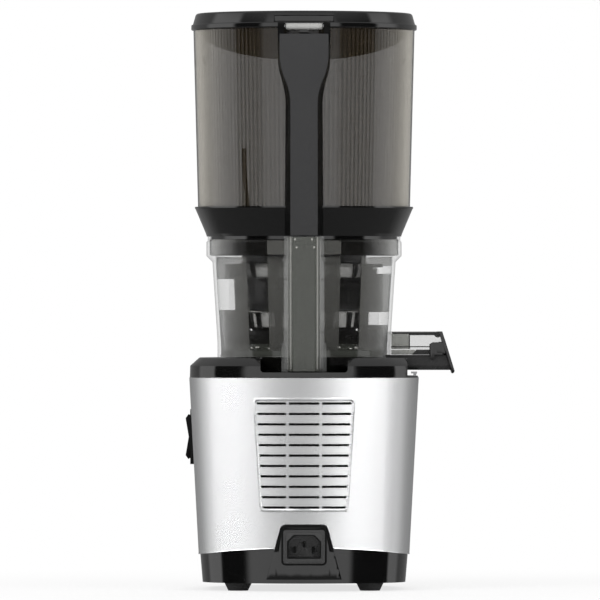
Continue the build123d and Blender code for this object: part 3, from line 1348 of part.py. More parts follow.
def spout_ears():
    y, z = spout_hinge()
    ears = []
    for side in (-1, 1):
        inner = SPOUT_KNUCKLE_HALF + CAP_SIDE_GAP
        span = sorted((side * inner, side * (inner + SPOUT_EAR)))
        ear = round_bar((span[0], y, z), (span[1], y, z), CAP_KNUCKLE_R)
        ear += block((span[0], y - CAP_KNUCKLE_R, SPOUT_Z + SPOUT_R - SPOUT_EAR_ROOT),
                     (span[1], y + CAP_GAP, z)) - juice_tube(SPOUT_BORE_R, 50, 30)
        ears.append(ear)
    return ears


def make_juice_cap():
    """Flap over the juice spout with a finger tab below."""
    layer = spout_end_cutter(-CAP_GAP) - spout_end_cutter(-CAP_GAP - CAP_THICK)
    bar = round_bar((0, 60, SPOUT_Z), (0, 160, SPOUT_Z), SPOUT_R + SPOUT_CAP_LIP)
    low = SPOUT_Z - SPOUT_R
    tab = block((-SPOUT_TAB_HALF, 60, low - SPOUT_TAB_DROP),
                (SPOUT_TAB_HALF, 160, low + SPOUT_TAB_ROOT))
    y, z = spout_hinge()
    knuckle = round_bar((-SPOUT_KNUCKLE_HALF, y, z), (SPOUT_KNUCKLE_HALF, y, z), CAP_KNUCKLE_R)
    reach = spout_end_y(SPOUT_Z + SPOUT_R) + CAP_GAP
    web = block((-SPOUT_KNUCKLE_HALF, reach, SPOUT_Z + SPOUT_R - SPOUT_EAR_ROOT),
                (SPOUT_KNUCKLE_HALF, reach + CAP_THICK, z + 1))
    knuckle += web & spout_end_cutter(-CAP_GAP)
    cap = (bar & layer) + (tab & layer) + knuckle
    return cap - round_bar((-20, y, z), (20, y, z), CAP_PIN_R + RUN_FIT)


def make_juice_plug():
    bung = round_bar((0, 60, SPOUT_Z), (0, 160, SPOUT_Z), SPOUT_BORE_R - PLUG_SIDE_GAP)
    return bung & (spout_end_cutter(PLUG_DEPTH) - spout_end_cutter(-CAP_GAP))


def make_cap_pins():
    """Hinge pins of the pulp cap and of the juice cap."""
    spout_half = SPOUT_KNUCKLE_HALF + CAP_SIDE_GAP + SPOUT_EAR
    return [cap_pin_bar(CHUTE_HALF), spout_pin_bar(spout_half)]


# ---------------------------------------------------------------- strainer and brush

def strainer_cone(outward, low=STRAINER_BOTTOM, high=STRAINER_TOP):
    """Solid cone that follows the strainer's outside, moved outward."""
    return turned([(0, low), (strainer_radius(low) + outward, low),
                   (strainer_radius(high) + outward, high), (0, high)])


def make_strainer_frame():
    wall = STRAINER_WALL
    low = STRAINER_BOTTOM
    floor = low + STRAINER_FLOOR
    skirt = STRAINER_SKIRT_R - STRAINER_SKIRT_WALL
    frame = turned([(DRUM_HUB_R, low), (skirt, low), (skirt, DRUM_FLOOR_TOP),
                    (STRAINER_SKIRT_R, DRUM_FLOOR_TOP), (STRAINER_SKIRT_R, low),
                    (STRAINER_FLANGE_R, low + SEAM),
                    (STRAINER_FLANGE_R, STRAINER_FLANGE_TOP - FLANGE_CHAMFER),
                    (STRAINER_FLANGE_R - FLANGE_CHAMFER, STRAINER_FLANGE_TOP),
                    (strainer_radius(STRAINER_FLANGE_TOP), STRAINER_FLANGE_TOP),
                    (STRAINER_HIGH_R, STRAINER_TOP), (STRAINER_HIGH_R - wall, STRAINER_TOP),
                    (strainer_radius(floor) - wall, floor), (DRUM_HUB_R, floor)])
    step = 360 / STRAINER_WINDOWS
    for row_low, row_high in WINDOW_ROWS:
        for window in range(STRAINER_WINDOWS):
            width = 2 * math.pi * strainer_radius(row_low) / STRAINER_WINDOWS - WINDOW_RIB
            cutter = block((20, -width / 2, row_low), (70, width / 2, row_high))
            frame -= Rot(0, 0, (window + 0.5) * step) * cutter
    # gap in the skirt for the idler, and the pulp's way out at the foot
    x, y = polar(IDLER_AXIS, IDLER_ANGLE)
    idler_room = BRUSH_MODULE * (IDLER_TEETH / 2 + 1) + 1
    frame -= disc(idler_room, DRUM_FLOOR_TOP - 1, low - RUN_FIT, x, y)
    frame -= pulp_hole(low - 1, floor + 1)
    return frame


def make_strainer_mesh():
    """Perforated steel sleeve inside the frame, drawn without its fine holes."""
    low = WINDOW_ROWS[0][0] - MESH_OVERLAP
    high = WINDOW_ROWS[1][1] + MESH_OVERLAP
    outward = -STRAINER_WALL
    return strainer_cone(outward, low, high) - strainer_cone(outward - MESH_THICK, low, high)


def idler_pin_bottom():
    return DRUM_FLOOR_TOP - DRUM_FLOOR_THICK - IDLER_BOSS_DROP + IDLER_BOSS_FLOOR


def make_idler_pin():
    x, y = polar(IDLER_AXIS, IDLER_ANGLE)
    top = BRUSH_GEAR_Z + BRUSH_GEAR_HEIGHT + IDLER_PIN_PROUD
    return disc(IDLER_PIN_R, idler_pin_bottom(), top, x, y)


def make_idler_gear():
    x, y = polar(IDLER_AXIS, IDLER_ANGLE)
    gear = spur_gear(BRUSH_MODULE, IDLER_TEETH, BRUSH_GEAR_Z, BRUSH_GEAR_HEIGHT,
                     IDLER_ANGLE + 180 + 180 / IDLER_TEETH, x, y)
    gear -= disc(IDLER_PIN_R + RUN_FIT, BRUSH_GEAR_Z - 1, BRUSH_GEAR_Z + 10, x, y)
    return gear


def make_brush_frame():
    """Ring gear, windowed cage and top ring that turn between strainer and drum."""
    space = gear_face(BRUSH_MODULE, RING_TEETH, RING_PITCH_R + 1.2 * BRUSH_MODULE,
                      RING_PITCH_R - 0.9 * BRUSH_MODULE, IDLER_ANGLE + 180 / RING_TEETH,
                      -BACKLASH, 3)
    low = BRUSH_GEAR_Z
    ring = Pos(0, 0, low) * extrude(Circle(BRUSH_RING_R) - space, BRUSH_GEAR_HEIGHT)
    cage_low = low + BRUSH_GEAR_HEIGHT - 1
    cage = tube(BRUSH_R, BRUSH_R - BRUSH_WALL, cage_low, BRUSH_TOP)
    for post in range(BRUSH_POSTS):
        angle = (post + 0.5) * 360 / BRUSH_POSTS
        window_half = math.pi * BRUSH_R / BRUSH_POSTS - BRUSH_POST_SPAN / 2
        for row_low, row_high in CAGE_ROWS:
            cutter = block((40, -window_half, row_low), (80, window_half, row_high))
            cage -= Rot(0, 0, angle) * cutter
    return ring + cage


def make_brush_wipers():
    """Silicone blades that stand on the cage and sweep the strainer."""
    wipers = []
    inside = BRUSH_R - BRUSH_WALL
    room = disc(inside, WIPER_BOTTOM, WIPER_TOP) - strainer_cone(WIPER_GAP)
    blade = block((STRAINER_LOW_R, -WIPER_THICK / 2, WIPER_BOTTOM),
                  (inside, WIPER_THICK / 2, WIPER_TOP)) & room
    for post in range(BRUSH_POSTS):
        wipers.append(Rot(0, 0, post * 360 / BRUSH_POSTS + WIPER_ANGLE) * blade)
    return wipers


# ---------------------------------------------------------------- auger

def make_auger():
    """Screw with two flights on a tapered core, with its pinion below."""
    foot = BRUSH_GEAR_Z + BRUSH_GEAR_HEIGHT
    rim = AUGER_CORE_LOW_R + AUGER_RIM
    shoulder = STRAINER_TOP + AUGER_STEP
    neck = AUGER_CORE_HIGH_R - AUGER_CAP_STEP
    core = turned([(0, foot), (AUGER_HUB_R, foot), (AUGER_HUB_R, foot + AUGER_STEP),
                   (AUGER_SEAL_R, foot + AUGER_STEP), (AUGER_SEAL_R, AUGER_BOTTOM - 3),
                   (rim, AUGER_BOTTOM - 2), (rim, AUGER_BOTTOM + 1),
                   (AUGER_CORE_LOW_R, AUGER_BOTTOM + 4), (AUGER_CORE_HIGH_R, shoulder),
                   (neck, shoulder), (neck, AUGER_TOP), (0, AUGER_TOP)])
    height = STRAINER_TOP - 1 - AUGER_BOTTOM
    section = Pos(0, 0, AUGER_BOTTOM) * Rectangle(4 * AUGER_CORE_LOW_R, FLIGHT_THICK)
    flights = Solid.extrude_linear_with_rotation(section.faces()[0], (0, 0, AUGER_BOTTOM),
                                                 (0, 0, height), FLIGHT_TURN)
    flights = Part() + flights
    flights &= strainer_cone(-STRAINER_WALL - MESH_THICK - AUGER_GAP)
    auger = core + flights
    auger += spur_gear(BRUSH_MODULE, AUGER_PINION_TEETH, BRUSH_GEAR_Z, BRUSH_GEAR_HEIGHT,
                       IDLER_ANGLE)
    auger -= disc(SHAFT_R + HUB_CLEAR, BRUSH_GEAR_Z - 1, HEX_BOTTOM)
    hexagon = RegularPolygon(HEX_ACROSS_FLATS / 2 + HEX_CLEAR, 6, major_radius=False)
    auger -= Pos(0, 0, HEX_BOTTOM - 1) * extrude(hexagon, SHAFT_TOP - HEX_BOTTOM + 2)
    return auger


def make_feed_blade():
    """Upright blade that leads the food down: a curved wall on an arm from the core."""
    low = STRAINER_TOP + AUGER_STEP
    wall = tube(BLADE_R, BLADE_R - BLADE_THICK, low, BLADE_TOP)
    wall &= Rot(0, 0, 180) * blade_sector(low, BLADE_TOP)
    tip = BLADE_TIP_HALF
    profile = [(-BLADE_SPAN, BLADE_ARM_TOP), (2 * tip - BLADE_SPAN / 2, BLADE_ARM_TOP),
               (-tip, BLADE_TOP), (tip, BLADE_TOP - 2 * tip),
               (BLADE_SHOULDER_HALF, BLADE_TOP - BLADE_SHOULDER_DROP),
               (BLADE_SPAN / 2, BLADE_ARM_TOP + 2 * tip), (BLADE_SPAN, BLADE_ARM_TOP),
               (BLADE_SPAN, low), (-BLADE_SPAN, low)]
    face = make_face(Polyline(*profile, close=True))
    wall &= extrude(Plane.YZ.offset(-2 * BLADE_R) * face, 2 * BLADE_R)
    arm = block((-BLADE_R, -BLADE_ARM_HALF, low), (0, BLADE_ARM_HALF, BLADE_ARM_TOP - 2))
    arm &= disc(BLADE_R, low, BLADE_TOP)
    cap = disc(AUGER_CORE_HIGH_R - 1, low, BLADE_ARM_TOP)
    return wall + arm + cap - disc(AUGER_CORE_HIGH_R - AUGER_CAP_STEP, low - 1, AUGER_TOP)


def blade_sector(low, high):
    """Wedge about +X that limits the blade's width."""
    half = math.degrees(BLADE_SPAN / 2 / BLADE_R)
    near = polar(2 * BLADE_R, -half)
    far = polar(2 * BLADE_R, half)
    face = make_face(Polyline((0, 0), near, far, close=True))
    return Pos(0, 0, low) * extrude(face, high - low)


# ---------------------------------------------------------------- hopper

def make_hopper_base():
    """Black funnel: neck in the drum's collar, flared outside, sloped inside, throat."""
    wall = PLASTIC_WALL
    throat_out = THROAT_R + wall
    throat_top = THROAT_BOTTOM + THROAT_HEIGHT
    inside = [(FUNNEL_R - 2 * wall, FUNNEL_TOP), (FUNNEL_R - 3 * wall, FUNNEL_TOP - wall),
              (THROAT_R + THROAT_FLARE[0], throat_top + THROAT_FLARE[1]),
              (THROAT_R, throat_top), (THROAT_R, THROAT_BOTTOM)]
    under = [(throat_out, THROAT_BOTTOM), (throat_out, throat_top),
             (throat_out + THROAT_SHOULDER, throat_top + THROAT_SHOULDER)]
    under += [(FUNNEL_R - inward, FUNNEL_TOP - down) for inward, down in FUNNEL_UNDERSIDE]
    neck = [(NECK_R - wall, FLANGE_BOTTOM + 1), (NECK_R - wall, NECK_BOTTOM),
            (NECK_R, NECK_BOTTOM)]
    return turned(neck + funnel_profile() + inside + under)


def funnel_profile():
    """Outside of the funnel from the flange to its lip."""
    return [(NECK_R, FLANGE_BOTTOM), (FLANGE_R, FLANGE_BOTTOM),
            (FLANGE_R + FUNNEL_LIP, FLANGE_BOTTOM + 2), (FUNNEL_R, FUNNEL_TOP - 3 * FUNNEL_LIP),
            (FUNNEL_LIP_R, FUNNEL_TOP - 2 * FUNNEL_LIP), (FUNNEL_LIP_R, FUNNEL_TOP)]


def make_hopper_wall():
    low = FUNNEL_TOP
    return turned([(HOPPER_LOW_R - HOPPER_WALL, low), (HOPPER_LOW_R, low),
                   (HOPPER_HIGH_R, HOPPER_TOP), (HOPPER_HIGH_R - HOPPER_WALL, HOPPER_TOP)])


def hopper_outside():
    """Everything within the hopper's outer surface."""
    above = [(HOPPER_LOW_R, FUNNEL_TOP), (HOPPER_HIGH_R, HOPPER_TOP),
             (HOPPER_HIGH_R, LID_TOP), (0, LID_TOP)]
    return turned([(0, NECK_BOTTOM), (NECK_R, NECK_BOTTOM)] + funnel_profile() + above)


def spine_outline(extra_top, extra):
    """Back view of the spine: wide head, S-bend on each side, narrow stem."""
    top = SPINE_TOP_HALF + extra_top
    stem = SPINE_HALF + extra
    middle_z = (SPINE_BEND_TOP + SPINE_BEND_BOTTOM) / 2
    middle_x = (top + stem) / 2
    rise = (SPINE_BEND_TOP - SPINE_BEND_BOTTOM) / 2
    sag = (top - stem) / 2
    radius = (rise ** 2 + sag ** 2) / (2 * sag)
    turn = math.asin(rise / radius)
    bow = radius * (1 - math.cos(turn / 2))
    lift = radius * math.sin(turn / 2)
    upper = (top - bow, SPINE_BEND_TOP - lift)
    lower = (stem + bow, SPINE_BEND_BOTTOM + lift)
    edges = []
    for side in (1, -1):
        edges.append(Line((side * top, SPINE_TOP), (side * top, SPINE_BEND_TOP)))
        edges.append(ThreePointArc((side * top, SPINE_BEND_TOP), (side * upper[0], upper[1]),
                                   (side * middle_x, middle_z)))
        edges.append(ThreePointArc((side * middle_x, middle_z), (side * lower[0], lower[1]),
                                   (side * stem, SPINE_BEND_BOTTOM)))
        edges.append(Line((side * stem, SPINE_BEND_BOTTOM), (side * stem, SPINE_BOTTOM)))
    edges.append(Line((top, SPINE_TOP), (-top, SPINE_TOP)))
    edges.append(Line((stem, SPINE_BOTTOM), (-stem, SPINE_BOTTOM)))
    return make_face(edges)


def spine_solid():
    """Whole spine from its face to inside the hopper's wall."""
    face = Plane.XZ.offset(-SPINE_Y) * spine_outline(0, 0)
    root = Plane.XZ.offset(-SPINE_ROOT_Y) * spine_outline(SPINE_ROOT_EXTRA_TOP, SPINE_ROOT_EXTRA)
    spine = loft([face, root], ruled=True)
    return spine - hopper_outside()


def cover_slab():
    return block((-2 * SPINE_TOP_HALF, SPINE_Y - 1, SPINE_BOTTOM - 1),
                 (2 * SPINE_TOP_HALF, SPINE_Y + SPINE_COVER_THICK, SPINE_TOP + 1))


def make_spine_frame():
    """Channel moulded on the hopper, with the ears of the lid's hinge."""
    spine = spine_solid() - cover_slab()
    channel_y = ROD_Y + CHANNEL_PAST_ROD
    spine -= block((-SPINE_CHANNEL_HALF, SPINE_Y, SPINE_BOTTOM + SPINE_WEB_THICK),
                   (SPINE_CHANNEL_HALF, channel_y, SPINE_TOP - CHANNEL_TOP_WALL))
    for z in SPINE_WEBS:
        spine += block((-SPINE_CHANNEL_HALF, SPINE_Y + SPINE_COVER_THICK, z),
                       (SPINE_CHANNEL_HALF, channel_y, z + SPINE_WEB_THICK))
    spine -= disc(ROD_R + ROD_HOLE_CLEAR, SPINE_BOTTOM - 1, SPINE_TOP + 1, 0, ROD_Y)
    room_half = CAM_WIDTH / 2 + CAM_ROOM
    spine -= block((-room_half, HINGE_Y - CAM_ROOM_REACH, SPINE_TOP - CAM_ROOM_DEPTH),
                   (room_half, HINGE_Y + CAM_ROOM_REACH, SPINE_TOP + 1))
    for side in (-1, 1):
        span = sorted((side * (HINGE_HALF - HINGE_EAR), side * HINGE_HALF))
        ear = round_bar((span[0], HINGE_Y, HINGE_Z), (span[1], HINGE_Y, HINGE_Z), HINGE_KNUCKLE_R)
        ear += block((span[0], SPINE_Y + SPINE_COVER_THICK, SPINE_TOP - HINGE_EAR),
                     (span[1], HINGE_Y + HINGE_KNUCKLE_R, HINGE_Z))
        spine += ear
    spine -= hinge_bar(HINGE_PIN_R, HINGE_HALF + 1)
    return spine


def hinge_bar(radius, half):
    return round_bar((-half, HINGE_Y, HINGE_Z), (half, HINGE_Y, HINGE_Z), radius)


def make_spine_cover():
    return spine_solid() & cover_slab()


def make_hinge_pin():
    return hinge_bar(HINGE_PIN_R, HINGE_HALF)


# ---------------------------------------------------------------- lid

def lid_bottom():
    return HOPPER_TOP + LID_GAP


def make_lid():
    low = lid_bottom()
    wall = LID_WALL
    shell = turned([(LID_RIM_R, low), (LID_RIM_R, LID_RIM_TOP - LID_RIM_CHAMFER),
                    (LID_RIM_R - LID_RIM_CHAMFER, LID_RIM_TOP), (LID_SIDE_R, LID_RIM_TOP),
                    (LID_EDGE_R, LID_TOP - LID_EDGE_CHAMFER),
                    (LID_EDGE_R - LID_EDGE_CHAMFER, LID_TOP), (0, LID_TOP),
                    (0, LID_TOP - wall), (LID_EDGE_R - wall - 1, LID_TOP - wall),
                    (LID_SIDE_R - wall, LID_RIM_TOP), (LID_SIDE_R - wall, low)])
    inner = HINGE_HALF - HINGE_EAR - HINGE_GAP
    lugs = []
    reach = LUG_BITE - LID_SIDE_R
    knuckle = HINGE_KNUCKLE_R - LUG_STEP
    spans = [(-inner, -inner + LUG_WIDE, knuckle), (inner - LUG_WIDE, inner, knuckle),
             (-CAM_WIDTH / 2, CAM_WIDTH / 2, CAM_HUB_R)]
    for start, end, radius in spans:
        lug = round_bar((start, HINGE_Y, HINGE_Z), (end, HINGE_Y, HINGE_Z), radius)
        lug += block((start, HINGE_Y, HINGE_Z), (end, reach, LID_RIM_TOP + LUG_RISE))
        lugs.append(lug)
    lid = shell + [lug - lid_room() for lug in lugs]
    # cam nose that holds the rod down while the lid is shut
    nose = block((-CAM_WIDTH / 2, HINGE_Y - CAM_BACK, HINGE_Z - CAM_R),
                 (CAM_WIDTH / 2, HINGE_Y + CAM_FRONT, HINGE_Z))
    lid += fillet(nose.edges().filter_by(Axis.X).sort_by(Axis.Z)[:2], CAM_FRONT / 2)
    return lid - hinge_bar(HINGE_PIN_R + RUN_FIT, HINGE_HALF)


def lid_room():
    """Space inside the lid's rim, which its lugs leave free."""
    return disc(LID_SIDE_R - LID_WALL, lid_bottom() - 1, LID_RIM_TOP + 0.5)


def lid_inner_z(radius):
    """Height of the sloping inside of the lid at a radius."""
    slope = (LID_TOP - LID_WALL - LID_RIM_TOP) / (LID_SIDE_R - LID_EDGE_R + 1)
    return LID_RIM_TOP + slope * (LID_SIDE_R - LID_WALL - radius)


def make_lid_skirt():
    """Dark skirt inside the lid, cut by a slanted plane so that it is deepest in front."""
    low = lid_bottom() - LID_SKIRT_DEPTH
    inner = LID_SKIRT_TOP_R - LID_SKIRT_WALL
    skirt = turned([(LID_SKIRT_LOW_R, low), (LID_SKIRT_TOP_R, lid_inner_z(LID_SKIRT_TOP_R)),
                    (inner, lid_inner_z(inner)), (LID_SKIRT_LOW_R - LID_SKIRT_WALL, low)])
    rim = lid_bottom() + 1
    points = [(-100, rim), (0, rim), (LID_SKIRT_TOP_R, low), (120, low - 20), (-100, low - 20)]
    face = make_face(Polyline(*points, close=True))
    return skirt - extrude(Plane.YZ.offset(-100) * face, 200)


# ---------------------------------------------------------------- interlock rods

def make_rod_upper():
    """Push rod in the spine, from the lid's cam to the drum's rod."""
    return disc(ROD_R, COLUMN_TOP, ROD_TOP, 0, ROD_Y)


def make_rod_lower():
    """Push rod in the drum's column, from the hopper's rod to the microswitch."""
    return disc(ROD_R, rod_bottom(), COLUMN_TOP - ROD_GAP, 0, ROD_Y)


# ---------------------------------------------------------------- assembly

MAKERS = {
    "rubber_feet": make_rubber_feet,
    "lower_base": make_lower_base,
    "inlet_tongue": make_inlet_tongue,
    "base_screws": make_base_screws,
    "steel_housing": make_steel_housing,
    "top_cover": make_top_cover,
    "power_inlet": make_power_inlet,
    "inlet_pins": make_inlet_pins,
    "switch_bezel": make_switch_bezel,
    "switch_rocker": make_rocker,
    "motor_can": make_motor_can,
    "motor_bearings": make_motor_bearings,
    "motor_stator": make_stator,
    "rotor_core": make_rotor_core,
    "motor_shaft": make_motor_shaft,
    "cooling_fan": make_cooling_fan,
    "gearbox_case": make_gearbox_case,
    "gearbox_lid": make_gearbox_lid,
    "wheel_pin": make_wheel_pin,
    "compound_gear": make_compound_gear,
    "output_gear": make_output_gear,
    "drive_shaft": make_drive_shaft,
    "shaft_bearing": make_shaft_bearing,
    "shaft_seal": make_shaft_seal,
    "circuit_board": make_circuit_board,
    "board_parts": make_board_parts,
    "interlock_switch": make_interlock_switch,
    "switch_plunger": make_switch_plunger,
    "catch_lever": make_catch_lever,
    "catch_pin": make_catch_pin,
    "catch_pocket": make_catch_pocket,
    "drum": make_drum,
    "chute_hood": make_chute_hood,
    "juice_spout": make_juice_spout,
    "pulp_trough": make_pulp_trough,
    "pulp_cap": make_pulp_cap,
    "pulp_cap_seal": make_pulp_cap_seal,
    "juice_cap": make_juice_cap,
    "juice_plug": make_juice_plug,
    "cap_pins": make_cap_pins,
    "strainer_frame": make_strainer_frame,
    "strainer_mesh": make_strainer_mesh,
    "idler_pin": make_idler_pin,
    "idler_gear": make_idler_gear,
    "brush_frame": make_brush_frame,
    "brush_wipers": make_brush_wipers,
    "auger": make_auger,
    "feed_blade": make_feed_blade,
    "hopper_base": make_hopper_base,
    "hopper_wall": make_hopper_wall,
    "spine_frame": make_spine_frame,
    "spine_cover": make_spine_cover,
    "hinge_pin": make_hinge_pin,
    "lid": make_lid,
    "lid_skirt": make_lid_skirt,
    "rod_upper": make_rod_upper,
    "rod_lower": make_rod_lower,
}

LEFT_EDGE = switch_face_x() - ROCKER_PROUD
RIGHT_EDGE = chute_end_x(CHUTE_END_LOW_Z) + CAP_GAP + CAP_THICK
FRONT_EDGE = spout_end_y(SPOUT_Z - SPOUT_R - SPOUT_TAB_DROP) + CAP_GAP + CAP_THICK
BACK_EDGE = -BACK_REACH
TO_ORIGIN = Pos(-(LEFT_EDGE + RIGHT_EDGE) / 2, -(BACK_EDGE + FRONT_EDGE) / 2, 0)

os.makedirs("parts", exist_ok=True)
for name, make in MAKERS.items():
    made = make()
    pieces = made if isinstance(made, (list, tuple)) else [made]
    solids = [solid for piece in pieces for solid in piece.solids()]
    export_step(TO_ORIGIN * Compound(solids), f"parts/{name}.step")
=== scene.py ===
import functools
import math

import bmesh
import bpy
from mathutils import Matrix, Vector


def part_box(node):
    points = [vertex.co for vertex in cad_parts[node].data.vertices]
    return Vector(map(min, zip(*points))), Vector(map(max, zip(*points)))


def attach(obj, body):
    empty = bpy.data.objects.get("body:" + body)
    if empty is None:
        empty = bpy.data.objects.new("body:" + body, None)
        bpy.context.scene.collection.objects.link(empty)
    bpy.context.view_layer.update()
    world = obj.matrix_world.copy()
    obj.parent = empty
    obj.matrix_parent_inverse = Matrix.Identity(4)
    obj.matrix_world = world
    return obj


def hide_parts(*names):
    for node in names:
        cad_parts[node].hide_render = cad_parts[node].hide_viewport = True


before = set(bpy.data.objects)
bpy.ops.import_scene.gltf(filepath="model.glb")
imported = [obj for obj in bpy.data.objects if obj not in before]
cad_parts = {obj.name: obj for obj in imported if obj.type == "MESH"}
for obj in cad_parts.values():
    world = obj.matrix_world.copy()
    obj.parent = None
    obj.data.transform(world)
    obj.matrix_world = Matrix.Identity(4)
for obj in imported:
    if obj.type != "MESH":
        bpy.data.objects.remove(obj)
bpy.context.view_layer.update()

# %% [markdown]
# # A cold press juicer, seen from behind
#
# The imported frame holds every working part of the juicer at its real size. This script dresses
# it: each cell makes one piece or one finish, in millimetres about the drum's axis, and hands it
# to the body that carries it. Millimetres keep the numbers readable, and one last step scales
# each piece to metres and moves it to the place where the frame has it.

MM = 0.001
wall_low, wall_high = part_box("hopper_wall")
AXIS = Vector(((wall_low.x + wall_high.x) / 2, (wall_low.y + wall_high.y) / 2, 0))
print("drum axis at", [round(value / MM, 2) for value in AXIS])


def span(node):
    """Lowest and highest corner of a node, in millimetres about the drum's axis."""
    low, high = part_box(node)
    return (low - AXIS) / MM, (high - AXIS) / MM


# %% [markdown]
# ## Helpers that shape a mesh
#
# A turned part is a section spun about the axis; a moulded part is an outline pushed to a depth.
# Both start as one flat face, so that its corners can be rounded with a vertex bevel first.

# %% Outline
PLACE = {
    "X": lambda u, v, w: (w, u, v),
    "Y": lambda u, v, w: (u, w, v),
    "Z": lambda u, v, w: (u, v, w),
}


def oblong(low_u, high_u, low_v, high_v):
    """Four corners of an upright oblong, from its lower left."""
    return [(low_u, low_v), (high_u, low_v), (high_u, high_v), (low_u, high_v)]


def outline(points, rounded=(), across="Y", level=0.0, segments=4):
    """One flat face; rounded pairs a radius with the numbers of the corners that get it."""
    bm = bmesh.new()
    corners = [bm.verts.new(PLACE[across](u, v, level)) for u, v in points]
    bm.faces.new(corners)
    for radius, numbers in rounded:
        bmesh.ops.bevel(bm, geom=[corners[n] for n in numbers], offset=radius,
                        offset_type="OFFSET", segments=segments, profile=0.5,
                        affect="VERTICES", material=-1)
    return bm


# %% Turned part
def turned(points, rounded=(), steps=160):
    """Section of (radius, height) points spun about the axis into a closed shell."""
    bm = outline(points, rounded)
    bmesh.ops.delete(bm, geom=bm.faces[:], context="FACES_ONLY")
    on_axis = [edge for edge in bm.edges if all(abs(v.co.x) < 1e-6 for v in edge.verts)]
    bmesh.ops.delete(bm, geom=on_axis, context="EDGES")
    bmesh.ops.spin(bm, geom=bm.verts[:] + bm.edges[:], cent=(0, 0, 0), axis=(0, 0, 1),
                   dvec=(0, 0, 0), angle=math.tau, steps=steps, use_merge=True,
                   use_normal_flip=False, use_duplicate=False)
    bmesh.ops.remove_doubles(bm, verts=bm.verts, dist=0.001)
    bmesh.ops.recalc_face_normals(bm, faces=bm.faces)
    return bm


# %% Slab and block with soft edges
def soften(bm, width, segments=2, angle=30):
    """Rounds every edge that is sharper than an angle."""
    sharp = [edge for edge in bm.edges
             if edge.is_manifold and edge.calc_face_angle(0) > math.radians(angle)]
    bmesh.ops.bevel(bm, geom=sharp, offset=width, offset_type="OFFSET", segments=segments,
                    profile=0.5, affect="EDGES", material=-1, clamp_overlap=True)
    return bm


def slab(points, low, high, across="Y", rounded=(), soft=0.0, segments=4):
    """Outline pushed from one level to another, with its edges softened."""
    bm = outline(points, rounded, across, low, segments)
    made = bmesh.ops.extrude_face_region(bm, geom=bm.faces[:])
    moved = [item for item in made["geom"] if isinstance(item, bmesh.types.BMVert)]
    bmesh.ops.translate(bm, vec=PLACE[across](0, 0, high - low), verts=moved)
    bmesh.ops.recalc_face_normals(bm, faces=bm.faces)
    if soft:
        soften(bm, soft)
    return bm


def box(low, high, soft=0.0):
    """Block between two corners."""
    return slab(oblong(low[0], high[0], low[2], high[2]), low[1], high[1], soft=soft)


# %% Round bar
def bar(start, end, radius, segments=32):
    """Round bar between two points."""
    start, end = Vector(start), Vector(end)
    along = end - start
    turn = along.to_track_quat("Z", "Y").to_matrix().to_4x4()
    bm = bmesh.new()
    bmesh.ops.create_cone(bm, cap_ends=True, segments=segments, radius1=radius, radius2=radius,
                          depth=along.length,
                          matrix=Matrix.Translation((start + end) / 2) @ turn)
    return bm


# %% [markdown]
# ## Putting shapes together and into the frame
#
# Overlapping shells are fine inside something black, but in clear plastic every hidden wall would
# show, so those are merged or cut with a Boolean modifier whose result is baked at once.

# %% Join and Boolean
def join(*parts):
    """Puts several shells into the first one and frees the others."""
    whole = parts[0]
    for part in parts[1:]:
        mesh = bpy.data.meshes.new("part")
        part.to_mesh(mesh)
        part.free()
        whole.from_mesh(mesh)
        bpy.data.meshes.remove(mesh)
    return whole


def holder(bm, name):
    """Plain object around a bmesh."""
    mesh = bpy.data.meshes.new(name)
    bm.to_mesh(mesh)
    bm.free()
    made = bpy.data.objects.new(name, mesh)
    bpy.context.scene.collection.objects.link(made)
    return made


def carved(bm, tools, operation="DIFFERENCE"):
    """Result of Boolean steps with a list of tool shells."""
    body = holder(bm, "body")
    others = []
    for number, tool in enumerate(tools):
        other = holder(tool, f"tool{number}")
        step = body.modifiers.new("step", "BOOLEAN")
        step.operation = operation
        step.solver = "EXACT"
        step.object = other
        others.append(other)
    ready = body.evaluated_get(bpy.context.evaluated_depsgraph_get())
    result = bmesh.new()
    result.from_mesh(ready.to_mesh())
    ready.to_mesh_clear()
    for used in [body, *others]:
        mesh = used.data
        bpy.data.objects.remove(used)
        bpy.data.meshes.remove(mesh)
    bmesh.ops.remove_doubles(result, verts=result.verts, dist=0.0005)
    return result


# %% Into the frame and out of it
def settle(bm, name, finish, body, nodes=(), sharp=32):
    """Scales a shape to metres, moves it to the drum's axis and gives it to a body."""
    bmesh.ops.scale(bm, vec=(MM, MM, MM), verts=bm.verts)
    bmesh.ops.translate(bm, vec=AXIS, verts=bm.verts)
    piece = holder(bm, name)
    mesh = piece.data
    mesh.shade_smooth()
    mesh.set_sharp_from_angle(angle=math.radians(sharp))
    mesh.materials.append(finish)
    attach(piece, body)
    if nodes:
        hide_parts(*nodes)
    print(f"{name}: {len(mesh.polygons)} faces on {body}")


def copy_of(node):
    """Merged copy of a node's mesh, in millimetres about the axis, with flat areas cleaned."""
    bm = bmesh.new()
    bm.from_mesh(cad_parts[node].data)
    bmesh.ops.translate(bm, vec=-AXIS, verts=bm.verts)
    bmesh.ops.scale(bm, vec=(1 / MM, 1 / MM, 1 / MM), verts=bm.verts)
    bmesh.ops.remove_doubles(bm, verts=bm.verts, dist=0.002)
    bmesh.ops.dissolve_limit(bm, angle_limit=math.radians(0.5), verts=bm.verts, edges=bm.edges)
    return bm


# %% [markdown]
# ## Small steps in a node tree
#
# Every finish is a chain of the same few nodes. Each helper adds one node, takes numbers, colours
# or another node's output, and returns its own output, so a finish reads like a formula.

# %% Node helpers
def blank(name):
    """New material with its node tree, its Principled shader and its Object coordinates."""
    finish = bpy.data.materials.new(name)
    finish.use_nodes = True
    tree = finish.node_tree
    shader = tree.nodes["Principled BSDF"]
    place = tree.nodes.new("ShaderNodeTexCoord").outputs["Object"]
    return finish, tree, shader, place


